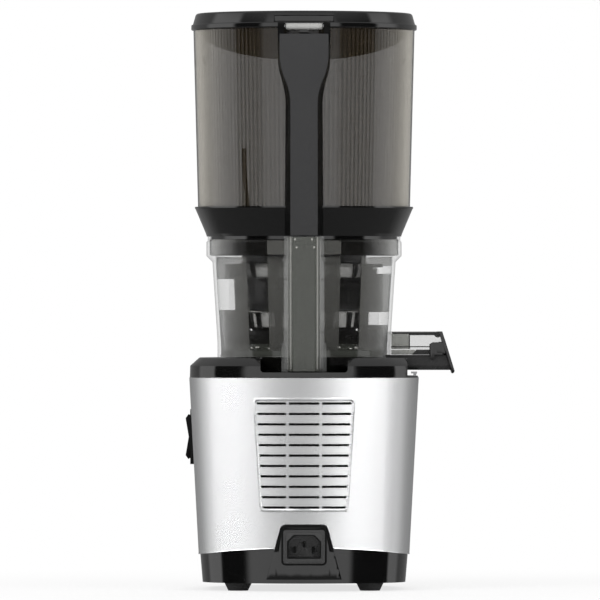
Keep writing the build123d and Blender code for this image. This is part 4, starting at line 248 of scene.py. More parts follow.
def feed(tree, slot, value):
    """Links another node's output to an input, or sets the input to a value."""
    if isinstance(value, bpy.types.NodeSocket):
        tree.links.new(value, slot)
    else:
        slot.default_value = value


def noise(tree, place, scale, detail=3.0):
    """Noise at a scale per metre."""
    node = tree.nodes.new("ShaderNodeTexNoise")
    node.inputs["Scale"].default_value = scale
    node.inputs["Detail"].default_value = detail
    tree.links.new(place, node.inputs["Vector"])
    return node.outputs["Fac"]


def spread(tree, source, low, high, start=0.3, end=0.7):
    """Maps a part of a value's range, by default the middle of a noise, onto another."""
    node = tree.nodes.new("ShaderNodeMapRange")
    node.inputs["From Min"].default_value = start
    node.inputs["From Max"].default_value = end
    node.inputs["To Min"].default_value = low
    node.inputs["To Max"].default_value = high
    tree.links.new(source, node.inputs["Value"])
    return node.outputs["Result"]


def blend(tree, source, first, second):
    """Colour between two, chosen by a value."""
    node = tree.nodes.new("ShaderNodeMix")
    node.data_type = "RGBA"
    tree.links.new(source, node.inputs["Factor"])
    feed(tree, node.inputs["A"], first)
    feed(tree, node.inputs["B"], second)
    return node.outputs["Result"]


def calculate(tree, operation, *values):
    """One step of arithmetic."""
    node = tree.nodes.new("ShaderNodeMath")
    node.operation = operation
    for slot, value in zip(node.inputs, values):
        feed(tree, slot, value)
    return node.outputs[0]


def ramp(tree, source, stops):
    """Colour read off a row of (position, colour) stops."""
    node = tree.nodes.new("ShaderNodeValToRGB")
    elements = node.color_ramp.elements
    for number, (position, colour) in enumerate(stops):
        stop = elements[number] if number < 2 else elements.new(position)
        stop.position = position
        stop.color = colour
    tree.links.new(source, node.inputs["Fac"])
    return node.outputs["Color"]


def bump(tree, source, strength, distance, shader):
    """Turns a value into relief on the shader."""
    node = tree.nodes.new("ShaderNodeBump")
    node.inputs["Strength"].default_value = strength
    node.inputs["Distance"].default_value = distance
    tree.links.new(source, node.inputs["Height"])
    tree.links.new(node.outputs["Normal"], shader.inputs["Normal"])


def scaled(colour, share, lift=0.0):
    """A colour made darker or lighter, with full alpha."""
    return (*[value * share + lift for value in colour], 1)


def grey(level):
    """Neutral colour at a level."""
    return (level, level, level, 1)


# %% [markdown]
# ## Moulded plastic
#
# Moulded plastic is never one flat value: it has a faint grain that breaks up reflections, and
# handling leaves it a little rougher in places. One function makes that from two noises on
# Object coordinates, and each plastic sets its own colour, gloss and grain size.

# %% Plastics and rubber
def moulded(name, colour, roughness, grain=900.0, relief=0.08, worn=1.25, sheen=0.5):
    """Plastic with a faint grain, uneven gloss and a colour that varies by a few percent."""
    finish, tree, shader, place = blank(name)
    shader.inputs["Specular IOR Level"].default_value = sheen
    handling = noise(tree, place, 60.0)
    tree.links.new(blend(tree, handling, scaled(colour, 0.92), scaled(colour, 1.08)),
                   shader.inputs["Base Color"])
    tree.links.new(spread(tree, handling, roughness, roughness * worn),
                   shader.inputs["Roughness"])
    bump(tree, noise(tree, place, grain, 2.0), relief, 0.00005, shader)
    return finish


gloss_black = moulded("gloss_black", (0.0035, 0.0035, 0.0035), 0.07, relief=0.015, sheen=1.0)
satin_grey = moulded("satin_grey", (0.034, 0.034, 0.035), 0.45, 2500.0, 0.15, sheen=0.35)
matt_black = moulded("matt_black", (0.022, 0.022, 0.022), 0.4, 1800.0, 0.15)
inner_black = moulded("inner_black", (0.009, 0.0088, 0.0085), 0.25)
socket_black = moulded("socket_black", (0.05, 0.05, 0.05), 0.5, 2400.0, 0.1, sheen=0.4)
socket_grey = moulded("socket_grey", (0.17, 0.17, 0.17), 0.5)
switch_black = moulded("switch_black", (0.004, 0.004, 0.004), 0.18, sheen=0.1)
hinge_highlight_grey = moulded("hinge_highlight_grey", (0.38, 0.38, 0.37), 0.3)
# column_light colours the column's painted edge highlights and its four dots; pale colours painted
# glints and highlights only.
column_light = moulded("column_light", (0.3, 0.3, 0.28), 0.3)
pale = moulded("pale", (0.75, 0.74, 0.7), 0.25)
rubber = moulded("rubber", (0.03, 0.03, 0.03), 0.6, 3000.0, 0.3)
nylon = moulded("nylon", (0.6, 0.59, 0.55), 0.5)
print("moulded finishes ready")

# %% [markdown]
# ## Brushed steel
#
# The housing is brushed along its width. An image of scratches would do, but it would need
# unwrapping, so its grain is a noise squeezed hard in height and drawn out sideways. The grain
# moves colour and roughness very little: most of the brushed look is the anisotropic highlight,
# which a radial tangent turns with the wall.

# %% Steels
EVEN_GRAIN = (900.0, 900.0, 900.0)
BRUSHED_GRAIN = (6.0, 6.0, 2200.0)


def steel(name, colour, roughness, stretch=BRUSHED_GRAIN, streak=0.0):
    """Metal with a directional grain."""
    finish, tree, shader, place = blank(name)
    mapping = tree.nodes.new("ShaderNodeMapping")
    mapping.inputs["Scale"].default_value = stretch
    tree.links.new(place, mapping.inputs["Vector"])
    lines = noise(tree, mapping.outputs["Vector"], 1.0, 4.0)
    shader.inputs["Metallic"].default_value = 1.0
    shader.inputs["Anisotropic"].default_value = streak
    shader.inputs["Anisotropic Rotation"].default_value = 0.25
    around = tree.nodes.new("ShaderNodeTangent")
    around.direction_type = "RADIAL"
    around.axis = "Z"
    tree.links.new(around.outputs[0], shader.inputs["Tangent"])
    tree.links.new(blend(tree, lines, scaled(colour, 0.985), scaled(colour, 1)),
                   shader.inputs["Base Color"])
    tree.links.new(spread(tree, lines, roughness * 0.97, roughness * 1.03),
                   shader.inputs["Roughness"])
    bump(tree, lines, 0.06, 0.00002, shader)
    return finish


brushed_steel = steel("brushed_steel", (0.88, 0.885, 0.89), 0.55, streak=0.8)
hem_steel = steel("hem_steel", (0.93, 0.93, 0.94), 0.2)
pin_metal = steel("pin_metal", (0.015, 0.015, 0.015), 0.5, EVEN_GRAIN)
ground_steel = steel("ground_steel", (0.62, 0.62, 0.63), 0.25, EVEN_GRAIN)
print("steel finishes ready")

# %% [markdown]
# ## Perforated sheet
#
# The strainer's wall has hundreds of holes finer than a millimetre. As real holes they would
# need far too many faces, so Voronoi cells draw them as darker dots a little over a millimetre
# apart.

# %% Strainer mesh
def perforated(name, colour, hole, pitch):
    """Sheet with rows of fine holes, drawn as dark dots."""
    finish, tree, shader, place = blank(name)
    cells = tree.nodes.new("ShaderNodeTexVoronoi")
    cells.inputs["Scale"].default_value = 1 / pitch
    cells.inputs["Randomness"].default_value = 0.25
    tree.links.new(place, cells.inputs["Vector"])
    dots = spread(tree, cells.outputs["Distance"], 0.0, 1.0, 0.2, 0.4)
    tree.links.new(blend(tree, dots, scaled(hole, 1), scaled(colour, 1)),
                   shader.inputs["Base Color"])
    shader.inputs["Metallic"].default_value = 0.1
    shader.inputs["Roughness"].default_value = 0.4
    return finish


mesh_steel = perforated("mesh_steel", (0.98, 0.98, 0.95), (0.4, 0.4, 0.38), 0.0011)
print("strainer mesh ready")

# %% [markdown]
# ## Clear plastic
#
# A wall of clear plastic has four surfaces on the way through the drum. Real refraction through
# all of them is slow and noisy, so each surface only holds back a part of what is behind it, by
# its alpha. Seen edge on it shows more of itself, which Layer Weight gives, the same way from
# every side; there its colour turns to a paler rim colour, a painted reflection, and right at the
# silhouette to a painted dark outline. The hopper's flutes come from an attribute on its wall: the
# near wall is thinner along each flute, and its colour is painted paler there as refracted light.

# %% Smoky and clear copolyester
def fluted(tree, facing, stripes, veil, colour, face):
    """Alpha and colour of a wall whose near side is thinner along its flutes and painted paler
    there as light.
    """
    flute = tree.nodes.new("ShaderNodeAttribute")
    flute.attribute_name = "flute"
    sided = tree.nodes.new("ShaderNodeNewGeometry").outputs["Backfacing"]
    near = calculate(tree, "MULTIPLY", flute.outputs["Fac"],
                     spread(tree, sided, 1.0, 0.0, 0.0, 1.0))
    near = calculate(tree, "MULTIPLY", near, spread(tree, facing, 1.0, 0.2, 0.2, 0.5))
    veil = calculate(tree, "MULTIPLY_ADD", near, stripes, veil)
    # Painted light: along each flute the near wall's colour is lifted to a paler tone, standing in
    # for light refracted through it.
    return veil, blend(tree, near, colour, scaled(face, 3.5, 0.035))


def clear(name, face, rim, thin, thick, roughness=0.05, stripes=0.0, sheen=1.0):
    """See-through plastic: its colour and its alpha go from its face to a rim with painted
    reflection and outline.
    """
    finish, tree, shader, place = blank(name)
    shader.inputs["Specular IOR Level"].default_value = sheen
    weight = tree.nodes.new("ShaderNodeLayerWeight")
    weight.inputs["Blend"].default_value = 0.35
    facing = weight.outputs["Facing"]
    # Painted reflection: the colour turns to the paler rim colour towards grazing angles, then to a
    # painted dark outline at the very silhouette.
    colour = ramp(tree, facing, [(0.2, scaled(face, 1)), (0.55, scaled(rim, 1)),
                                 (0.66, scaled(rim, 1)), (0.76, scaled(rim, 0.04))])
    veil = spread(tree, facing, thin, thick, 0.35, 0.75)
    if stripes:
        veil, colour = fluted(tree, facing, stripes, veil, colour, face)
    tree.links.new(colour, shader.inputs["Base Color"])
    # Painted dark outline: the alpha rises to nearly full at the silhouette, where the colour is
    # almost black.
    painted_dark_outline = spread(tree, facing, 0.0, 0.9, 0.8, 0.9)
    tree.links.new(calculate(tree, "MAXIMUM", veil, painted_dark_outline), shader.inputs["Alpha"])
    tree.links.new(spread(tree, noise(tree, place, 90.0), roughness, roughness * 1.6),
                   shader.inputs["Roughness"])
    return finish


# In each clear finish the second colour is its rim colour, painted as a reflection at grazing
# angles.
smoky = clear("smoky", (0.0125, 0.0085, 0.0034), (0.5, 0.475, 0.42), 0.53, 0.85,
              stripes=-0.2, sheen=0.9)
clear_drum = clear("clear_drum", (0.02, 0.02, 0.018), (0.65, 0.66, 0.65), 0.1, 0.28, sheen=0.35)
smoky_column = clear("smoky_column", (0.085, 0.09, 0.078), (0.2, 0.2, 0.19), 0.75, 0.95)
smoky_cage = clear("smoky_cage", (0.03, 0.03, 0.028), (0.06, 0.06, 0.055), 0.2, 0.7, sheen=0.3)
smoky_collar = clear("smoky_collar", (0.012, 0.012, 0.011), (0.42, 0.42, 0.41), 0.55, 0.7,
                     sheen=0.2)
frosted = clear("frosted", (0.25, 0.25, 0.235), (0.3, 0.3, 0.29), 0.3, 0.6, 0.3, sheen=0.3)
frosted_web = clear("frosted_web", (0.125, 0.125, 0.115), (0.2, 0.2, 0.19), 0.62, 0.8, 0.3,
                    sheen=0.3)
frosted_grey = clear("frosted_grey", (0.28, 0.285, 0.26), (0.3, 0.3, 0.29), 0.7, 0.8, 0.3)
print("clear finishes ready")

# %% [markdown]
# ## Dressing the frame's nodes
#
# Every node of the frame gets a finish, also those that a new piece stands in for later, so that
# nothing is ever bare. What isn't listed is a turned or ground metal part of the drive.

# %% Finishes of the frame's nodes
NODES_IN = [
    (rubber, "rubber_feet shaft_seal pulp_cap_seal juice_plug"),
    (gloss_black, "lower_base top_cover inlet_tongue pulp_cap juice_cap hopper_base lid lid_skirt"),
    (switch_black, "switch_bezel switch_rocker spine_frame"),
    (satin_grey, "spine_cover"),
    (brushed_steel, "steel_housing"),
    (pin_metal, "inlet_pins"),
    (matt_black, "power_inlet pulp_trough catch_pocket cooling_fan circuit_board board_parts "
                 "interlock_switch switch_plunger rod_lower rod_upper"),
    (clear_drum, "drum chute_hood juice_spout brush_frame brush_wipers"),
    (inner_black, "strainer_frame auger feed_blade cap_pins"),
    (mesh_steel, "strainer_mesh"),
    (nylon, "idler_gear gearbox_case gearbox_lid compound_gear output_gear"),
    (smoky, "hopper_wall"),
]
NODE_FINISH = {name: finish for finish, names in NODES_IN for name in names.split()}
for name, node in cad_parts.items():
    node.data.materials.clear()
    node.data.materials.append(NODE_FINISH.get(name, ground_steel))
print(len(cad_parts), "nodes dressed")

# %% [markdown]
# ## Moulded shells with soft edges
#
# No moulded part has a knife edge, and the thin bright line along each rounded corner is what
# makes black plastic readable. Modelling these shells again would lose their exact fit, so they
# start from the frame's own meshes, and every edge sharper than an angle gets a small radius.

# %% Cover, tongue, switch, spine and flap with rounded edges
ROUNDED = [
    ("top_cover", "base", 0.5, 25),
    ("inlet_tongue", "base", 0.5, 35),
    ("switch_bezel", "base", 0.4, 35),
    ("switch_rocker", "rocker", 0.4, 35),
    ("spine_frame", "hopper", 0.35, 35),
    ("spine_cover", "hopper", 0.5, 40),
    ("pulp_cap", "pulp_flap", 0.25, 35),
]
for node, body, width, angle in ROUNDED:
    shell = soften(copy_of(node), width, angle=angle)
    settle(shell, "rounded_" + node, NODE_FINISH[node], body, [node])

# %% [markdown]
# ## The steel's hem
#
# The sheet is folded over along its arched lower edge. The fold follows the plan of the housing,
# with rounded rear corners and a gently bowed back, drawn in a little as the sides taper. No
# operator follows a path that arches and tapers at once, so the hem is rings of points on that
# path, joined ring to ring.

# %% Plan of the base
HOUSING_TOP, HOUSING_LOW = 161.5, 28.0
HALF_WIDTH, BACK_REACH, BACK_ARC_R, CORNER_R = 87.4, 110.0, 123.0, 50.0
TAPER = 7.1
EDGE_RISE = 4.6


def arc_points(middle, radius, start, end, steps):
    """Points along an arc between two angles."""
    angles = [start + (end - start) * step / steps for step in range(steps + 1)]
    return [(middle[0] + radius * math.cos(angle), middle[1] + radius * math.sin(angle))
            for angle in angles]


@functools.cache
def plan(inset, steps=24):
    """Points round the base's plan, drawn in by an inset, from the right round the back."""
    arc_y = BACK_ARC_R - BACK_REACH
    corner_x = HALF_WIDTH - CORNER_R
    corner_y = arc_y - math.sqrt((BACK_ARC_R - CORNER_R) ** 2 - corner_x ** 2)
    turn = math.atan2(arc_y - corner_y, corner_x)
    half = HALF_WIDTH - inset
    right = [(half, 0.0)]
    right += arc_points((corner_x, corner_y), CORNER_R - inset, 0, -turn, steps)
    right += arc_points((0, arc_y), BACK_ARC_R - inset, -turn, -math.pi / 2, steps)[1:]
    left = [(-x, y) for x, y in right[-2::-1]]
    front = arc_points((0, 0), half, math.pi, 0, 2 * steps)[1:-1]
    return right + left + front


def steel_inset(z):
    """How far the tapering sides are drawn in at a height."""
    return TAPER * (HOUSING_TOP - z) / (HOUSING_TOP - HOUSING_LOW)


def steel_edge(x):
    """Height of the arched lower edge at an offset from the middle."""
    radius = (HALF_WIDTH - TAPER) ** 2 / (2 * EDGE_RISE)
    return HOUSING_LOW + EDGE_RISE - radius + math.sqrt(radius ** 2 - min(x * x, radius ** 2))


print(len(plan(0)), "points round the base")

# %% Hem
HEM_SECTION = [(-0.6, 0.02), (0.1, 0.02), (0.22, 0.2), (0.22, 0.5), (0.1, 0.7), (-0.6, 0.7)]
TONGUE_HALF = 22.6


def bridged(bm, rings, closed=True):
    """Walls between each ring of points and the next; an open strip gets its two ends."""
    for ring, following in zip(rings, rings[1:] + rings[:1]):
        for number in range(len(ring) - (0 if closed else 1)):
            after = (number + 1) % len(ring)
            bm.faces.new((ring[number], ring[after], following[after], following[number]))
    if not closed:
        bm.faces.new([ring[0] for ring in rings])
        bm.faces.new([ring[-1] for ring in rings])
    bmesh.ops.recalc_face_normals(bm, faces=bm.faces)
    return bm


def hem():
    """Fold along the lower edge, open where the tongue hangs; a section point is (out, up)."""
    path = plan(0)
    beside = [number for number, (x, y) in enumerate(path) if y > 0 or abs(x) > TONGUE_HALF]
    start = next(number for number in beside if (number - 1) % len(path) not in beside)
    order = [(start + step) % len(path) for step in range(len(beside))]
    bm = bmesh.new()
    rings = []
    for out, up in HEM_SECTION:
        ring = []
        for number in order:
            z = steel_edge(path[number][0]) + up
            x, y = plan(round(steel_inset(z) - out, 3))[number]
            ring.append(bm.verts.new((x, y, z)))
        rings.append(ring)
    return bridged(bm, rings, closed=False)


settle(hem(), "steel_hem", hem_steel, "base")

# %% [markdown]
# ## Vent border and painted shade
#
# A raised bead is pressed into the sheet round the vents, and a dark sheet behind the slots is
# painted shade for the dark inside. Both follow the bowed back. A flat bead bent by a modifier
# would work too, but placing each point on the back's own arc keeps the bead exactly on the steel.

# %% Raised border
VENT_TOP, VENT_LOW, VENT_TOP_HALF, VENT_LOW_HALF = 146.1, 61.0, 38.5, 33.5
BORDER_SECTION = [(-0.3, -0.4), (-0.3, 0.15), (0.15, 0.55), (0.95, 0.55), (1.5, 0.15),
                  (1.5, -0.4)]


def back_face(x, z, out):
    """Point on the steel's back, moved outward."""
    radius = BACK_ARC_R - steel_inset(z) + out
    return (x, BACK_ARC_R - BACK_REACH - math.sqrt(radius ** 2 - x * x), z)


def border_loop(inward, out, corner=3.0, steps=6, along=12):
    """Closed loop of a rounded trapezoid laid on the steel."""
    top, low = VENT_TOP - inward, VENT_LOW + inward
    corners = [(VENT_TOP_HALF - inward, top, 0), (-VENT_TOP_HALF + inward, top, 90),
               (-VENT_LOW_HALF + inward, low, 180), (VENT_LOW_HALF - inward, low, 270)]
    flat = []
    for x, z, start in corners:
        middle = (x - math.copysign(corner, x), z - corner if start < 180 else z + corner)
        flat += arc_points(middle, corner, math.radians(start), math.radians(start + 90), steps)
    loop = []
    for (x, z), (next_x, next_z) in zip(flat, flat[1:] + flat[:1]):
        count = along if math.hypot(next_x - x, next_z - z) > corner else 1
        for step in range(count):
            share = step / count
            loop.append(back_face(x + (next_x - x) * share, z + (next_z - z) * share, out))
    return loop


border = bmesh.new()
loops = [[border.verts.new(point) for point in border_loop(inward, out)]
         for inward, out in BORDER_SECTION]
settle(bridged(border, loops), "vent_border", brushed_steel, "base")

# %% Painted shade behind the slots
SHADE_LOW, SHADE_TOP, SHADE_HALF, SHADE_STEPS = 58.0, 148.0, 38, 16
SHADE_FACE, SHADE_BACK = -4.0, -4.6

# Painted shade: a black sheet behind the slots stands for the dark inside of the base.
shade_sheet = bmesh.new()
columns = [-SHADE_HALF + 2 * SHADE_HALF * step / SHADE_STEPS
           for step in range(SHADE_STEPS + 1)]
rows = [[shade_sheet.verts.new(back_face(x, z, out)) for x in columns]
        for z, out in [(SHADE_LOW, SHADE_FACE), (SHADE_TOP, SHADE_FACE),
                       (SHADE_TOP, SHADE_BACK), (SHADE_LOW, SHADE_BACK)]]
settle(bridged(shade_sheet, rows, closed=False), "vent_painted_shade", switch_black, "base")

# %% [markdown]
# ## Power inlet
#
# The inlet is the usual three-pin appliance socket, set in a black tongue that hangs below the
# steel. Its flange, lip and recess are plates cut from each other with Booleans, because the
# same outline a little smaller is always the tool for the next one.

# %% Edge of the tongue
TONGUE_FACE = -104.1


def tongue_plate(foot, top, corner, low_y, high_y):
    """Trapezoid with rounded upper corners; foot and top pair a half width with a height."""
    points = [(-foot[0], foot[1]), foot, top, (-top[0], top[1])]
    return slab(points, TONGUE_FACE + low_y, TONGUE_FACE + high_y, "Y", [(corner, (2, 3))],
                segments=8)


edge_out = tongue_plate((22.6, 30.0), (17.6, 50.4), 4.6, -0.25, 0.6)
edge_in = tongue_plate((20.8, 28.0), (15.6, 48.3), 3.4, -2, 2)
settle(carved(edge_out, [edge_in]), "tongue_edge", switch_black, "base")

# %% Gasket round the socket
INLET_BACK, INLET_FACE, INLET_Z = -82.42, -104.42, 34.0


def inlet_plate(half_x, half_z, low_y, high_y, corner, soft=0.0):
    """Rounded plate about the inlet's middle, between two depths."""
    return slab(oblong(-half_x, half_x, INLET_Z - half_z, INLET_Z + half_z), low_y, high_y, "Y",
                [(corner, (0, 1, 2, 3))], soft)


gasket = carved(inlet_plate(17.2, 13.8, INLET_FACE, INLET_FACE + 0.6, 2.6),
                [inlet_plate(16.0, 12.9, INLET_FACE - 1, INLET_FACE + 2, 2.0)])
settle(gasket, "inlet_gasket", switch_black, "base")

# %% Socket with its flange, raised rim and lip
RECESS_HALF, RECESS_RISE, RECESS_CUT, RECESS_DEPTH = 12.15, 8.3, 5.0, 17.0


def recess(low_y, high_y, grow=0.0):
    """Six-sided opening of the socket, with its two upper corners cut off."""
    half, low, high = RECESS_HALF + grow, INLET_Z - RECESS_RISE - grow, INLET_Z + RECESS_RISE + grow
    return slab([(-half, low), (half, low), (half, high - RECESS_CUT), (half - RECESS_CUT, high),
                 (RECESS_CUT - half, high), (-half, high - RECESS_CUT)], low_y, high_y, "Y",
                [(0.8, (0, 1))])


flange = inlet_plate(15.95, 12.9, INLET_FACE + 0.3, INLET_FACE + 3.0, 2.0, 0.3)
sleeve = inlet_plate(13.6, 10.6, INLET_FACE + 2.0, INLET_BACK, 1.0)
socket = carved(flange, [sleeve], "UNION")
socket = carved(socket, [recess(INLET_FACE - 1, INLET_FACE + RECESS_DEPTH)])
rim = carved(inlet_plate(14.7, 11.7, INLET_FACE, INLET_FACE + 0.6, 1.5),
             [inlet_plate(14.1, 11.1, INLET_FACE - 1, INLET_FACE + 1, 1.2)])
lip = carved(recess(INLET_FACE, INLET_FACE + 0.6, 0.7),
             [recess(INLET_FACE - 1, INLET_FACE + 1)])
settle(join(socket, rim), "inlet_socket", socket_black, "base", ["power_inlet"])
settle(lip, "inlet_lip", switch_black, "base")

# %% Floor of the recess, painted paler as light that reaches into it
RECESS_FLOOR = INLET_FACE + RECESS_DEPTH

# Painted light: the recess floor is a paler grey standing for light reaching into the socket.
socket_floor = slab([(-11.8, 26.0), (11.8, 26.0), (11.8, 37.3), (7.3, 42.0), (-7.3, 42.0),
                     (-11.8, 37.3)], RECESS_FLOOR - 0.6, RECESS_FLOOR - 0.1)
settle(socket_floor, "inlet_socket_floor", socket_grey, "base")

# %% [markdown]
# ## Hopper
#
# The hopper's wall is fluted: many fine upright ribs that gather into dark and light stripes
# wherever something dark stands behind the wall. A bump map alone doesn't show in smoky plastic,
# so the inside is really wavy, and each point of the wall also carries its share of the flute as
# an attribute for the finish to read.

# %% Fluted wall
WALL_FOOT_R, WALL_TOP_R, WALL_THICK = 81.3, 84.8, 2.2
FLUTES, FLUTE_POINTS, FLUTE_DEPTH = 150, 8, 0.25


def polar(radius, angle, z):
    """Point at a radius and an angle about the axis."""
    return (radius * math.cos(angle), radius * math.sin(angle), z)


def fluted_wall():
    """Tapered wall with a smooth outside and a wavy inside."""
    low, high = span("hopper_wall")
    foot_r, top_r = WALL_FOOT_R - WALL_THICK, WALL_TOP_R - WALL_THICK
    count = FLUTES * FLUTE_POINTS
    bm = bmesh.new()
    flute = bm.verts.layers.float.new("flute")
    rings = []
    for radius, z, wave in [(WALL_FOOT_R, low.z, 0.0), (WALL_TOP_R, high.z, 0.0),
                            (top_r, high.z, 0.0), (top_r - 0.05, high.z - 2, 1.0),
                            (foot_r + 0.05, low.z + 2, 1.0), (foot_r, low.z, 0.0)]:
        ring = []
        for number in range(count):
            swing = 0.5 - 0.5 * math.cos(math.tau * number / FLUTE_POINTS)
            out = radius + wave * FLUTE_DEPTH * swing
            vert = bm.verts.new(polar(out, math.tau * number / count, z))
            vert[flute] = swing * (1 - wave)
            ring.append(vert)
        rings.append(ring)
    return bridged(bm, rings)


settle(fluted_wall(), "fluted_hopper_wall", smoky, "hopper", ["hopper_wall"], sharp=60)

# %% Short dark marks below the rim
marks = []
for side in (-1, 1):
    marks.append(bar((side * 83.3, 0, 399.6), (side * 83.4, 0, 405.8), 0.55, 16))
    marks.append(bar((side * 75.2, -34.6, 400.0), (side * 77.2, -31.4, 404.8), 0.5, 16))
settle(join(*marks), "hopper_wall_marks", matt_black, "hopper")

# %% [markdown]
# ## Lid and hinge
#
# The lid is a shallow turned cap with a bead round its rim. Over the hinge its side is dished so
# that the knuckles can turn. A Boolean would leave a ragged edge on such thin steps, so the cap
# is two arcs with different sections that meet at the ends of the dish. One barrel runs between
# the two ears of the spine, light grey as a painted highlight along it.

# %% Arc piece
def arc_piece(points, middle, half, steps=24, rounded=()):
    """Section of (radius, height) points swept round the axis; degrees count from the back."""
    bm = outline(points, rounded)
    start = -math.pi / 2 + math.radians(middle - half)
    bmesh.ops.rotate(bm, cent=(0, 0, 0), matrix=Matrix.Rotation(start, 3, "Z"), verts=bm.verts)
    bmesh.ops.spin(bm, geom=bm.verts[:] + bm.edges[:] + bm.faces[:], cent=(0, 0, 0),
                   axis=(0, 0, 1), dvec=(0, 0, 0), angle=math.radians(2 * half), steps=steps,
                   use_merge=False, use_normal_flip=False, use_duplicate=False)
    bmesh.ops.recalc_face_normals(bm, faces=bm.faces)
    return bm


# %% Lid
HINGE_Y, HINGE_Z = -92.0, 427.6
KNUCKLE_INNER, KNUCKLE_END, KNUCKLE_MIDDLE, KNUCKLE_R = 14.4, 11.4, 3.5, 2.1
RIM_LOW, RIM_TOP, LID_TOP = 427.2, 431.4, 440.0
RIM_R = span("lid")[1].x
DISH_HALF = 15.6
LID_UNDER = [(0, LID_TOP), (0, 437.6), (79.4, 437.6), (82.7, RIM_TOP), (82.7, RIM_LOW)]
BEAD = [(RIM_R, RIM_LOW), (RIM_R, RIM_TOP)]

whole = arc_piece(BEAD + [(85.3, RIM_TOP), (85.1, 432.0), (82.8, LID_TOP)] + LID_UNDER,
                  180, 180 - DISH_HALF, 240, [(0.9, (0, 1)), (1.6, (4,))])
dished = arc_piece(BEAD + [(83.4, RIM_TOP), (83.4, 436.6), (83.8, 436.6), (82.8, LID_TOP)]
                   + LID_UNDER, 0, DISH_HALF, 24, [(0.9, (0, 1)), (1.2, (2, 3)), (1.6, (5,))])
shell = join(whole, dished)
bmesh.ops.remove_doubles(shell, verts=shell.verts, dist=0.0005)
lugs = []
for low_x, high_x in [(-KNUCKLE_INNER, -KNUCKLE_END), (KNUCKLE_END, KNUCKLE_INNER),
                      (-KNUCKLE_MIDDLE, KNUCKLE_MIDDLE)]:
    lugs.append(bar((low_x, HINGE_Y, HINGE_Z), (high_x, HINGE_Y, HINGE_Z), KNUCKLE_R))
    lugs.append(box((low_x, HINGE_Y + 1.2, HINGE_Z - 0.2), (high_x, -83.7, HINGE_Z + 2.6), 0.3))
lugs.append(slab(oblong(HINGE_Y - 0.3, HINGE_Y + 2.4, HINGE_Z - 5.5, HINGE_Z),
                 -KNUCKLE_MIDDLE, KNUCKLE_MIDDLE, "X", [(1.2, (0, 1))]))
settle(join(shell, *lugs), "lid_cap", gloss_black, "lid", ["lid"])

# %% Hinge barrel, light grey as a painted highlight
BARREL_R, BARREL_HALF = 2.5, KNUCKLE_INNER - 0.3

barrel = turned([(0, -BARREL_HALF), (BARREL_R, -BARREL_HALF), (BARREL_R, BARREL_HALF),
                 (0, BARREL_HALF)], [(0.5, (1, 2))], 32)
bmesh.ops.rotate(barrel, cent=(0, 0, 0), matrix=Matrix.Rotation(math.pi / 2, 3, "Y"),
                 verts=barrel.verts)
bmesh.ops.translate(barrel, vec=(0, HINGE_Y, HINGE_Z), verts=barrel.verts)
# Painted highlight: the barrel's light grey stands for the light along it.
settle(barrel, "hinge_barrel", hinge_highlight_grey, "lid")

# %% [markdown]
# ## Brush cage and its ring gear
#
# Inside the drum turns a smoky cage with openings in its sides, carried on a ring gear. The cage
# is a plain tube with sectors cut through its wall. Its gear must mesh, so that one isn't drawn
# again: the frame's mesh is cut just above the teeth and closed.

# %% Brush cage
CAGE_R, CAGE_WALL, CAGE_LOW, CAGE_TOP = 60.5, 2.0, 186.8, 248.0
CAGE_WINDOWS = [(-90, 30, 212.8, 236.6), (90, 30, 240.6, 245.6), (90, 36, 201.3, 211.3),
                (0, 44, 190.0, 245.6), (180, 44, 190.0, 245.6)]
CAGE_INNER = CAGE_R - CAGE_WALL


def window(inner, outer, middle, half, low, high):
    """Cutter for an opening in a round wall."""
    return arc_piece(oblong(inner, outer, low, high), middle, half)


tube = turned(oblong(CAGE_INNER, CAGE_R, CAGE_LOW, CAGE_TOP), [(0.6, (2, 3))], steps=144)
cage = carved(tube, [window(CAGE_INNER - 2, CAGE_R + 2, *opening) for opening in CAGE_WINDOWS])
settle(cage, "brush_cage", smoky_cage, "brush", ["brush_frame"])

# %% Ring gear
gear = copy_of("brush_frame")
cut = bmesh.ops.bisect_plane(gear, geom=gear.verts[:] + gear.edges[:] + gear.faces[:],
                             dist=0.0005, plane_co=(0, 0, CAGE_LOW + 0.1), plane_no=(0, 0, 1),
                             clear_outer=True)
cut_edges = [item for item in cut["geom_cut"] if isinstance(item, bmesh.types.BMEdge)]
bmesh.ops.triangle_fill(gear, edges=cut_edges, use_beauty=True, use_dissolve=False,
                        normal=(0, 0, 1))
bmesh.ops.recalc_face_normals(gear, faces=gear.faces)
settle(gear, "brush_ring_gear", smoky_column, "brush")

# %% [markdown]
# ## Clear drum
#
# Thick clear plastic looks frosted where it is moulded in two layers, and stays bright where it
# is thin. Changing the drum's own finish by height would need a mask, so thin linings just inside
# its wall hold back more light, with openings where the wall is bright.

# %% Lining, foot ring, web and collar
LINING = [(62.6, 181.8), (63.2, 181.8), (63.6, 188.0), (67.1, 246.0), (67.1, 253.6),
          (66.5, 253.6), (66.5, 246.0), (63.0, 188.0)]
LINING_HALF, WEB_HALF = 49, 24.5
CUT_INNER, CUT_OUTER = 60, 70

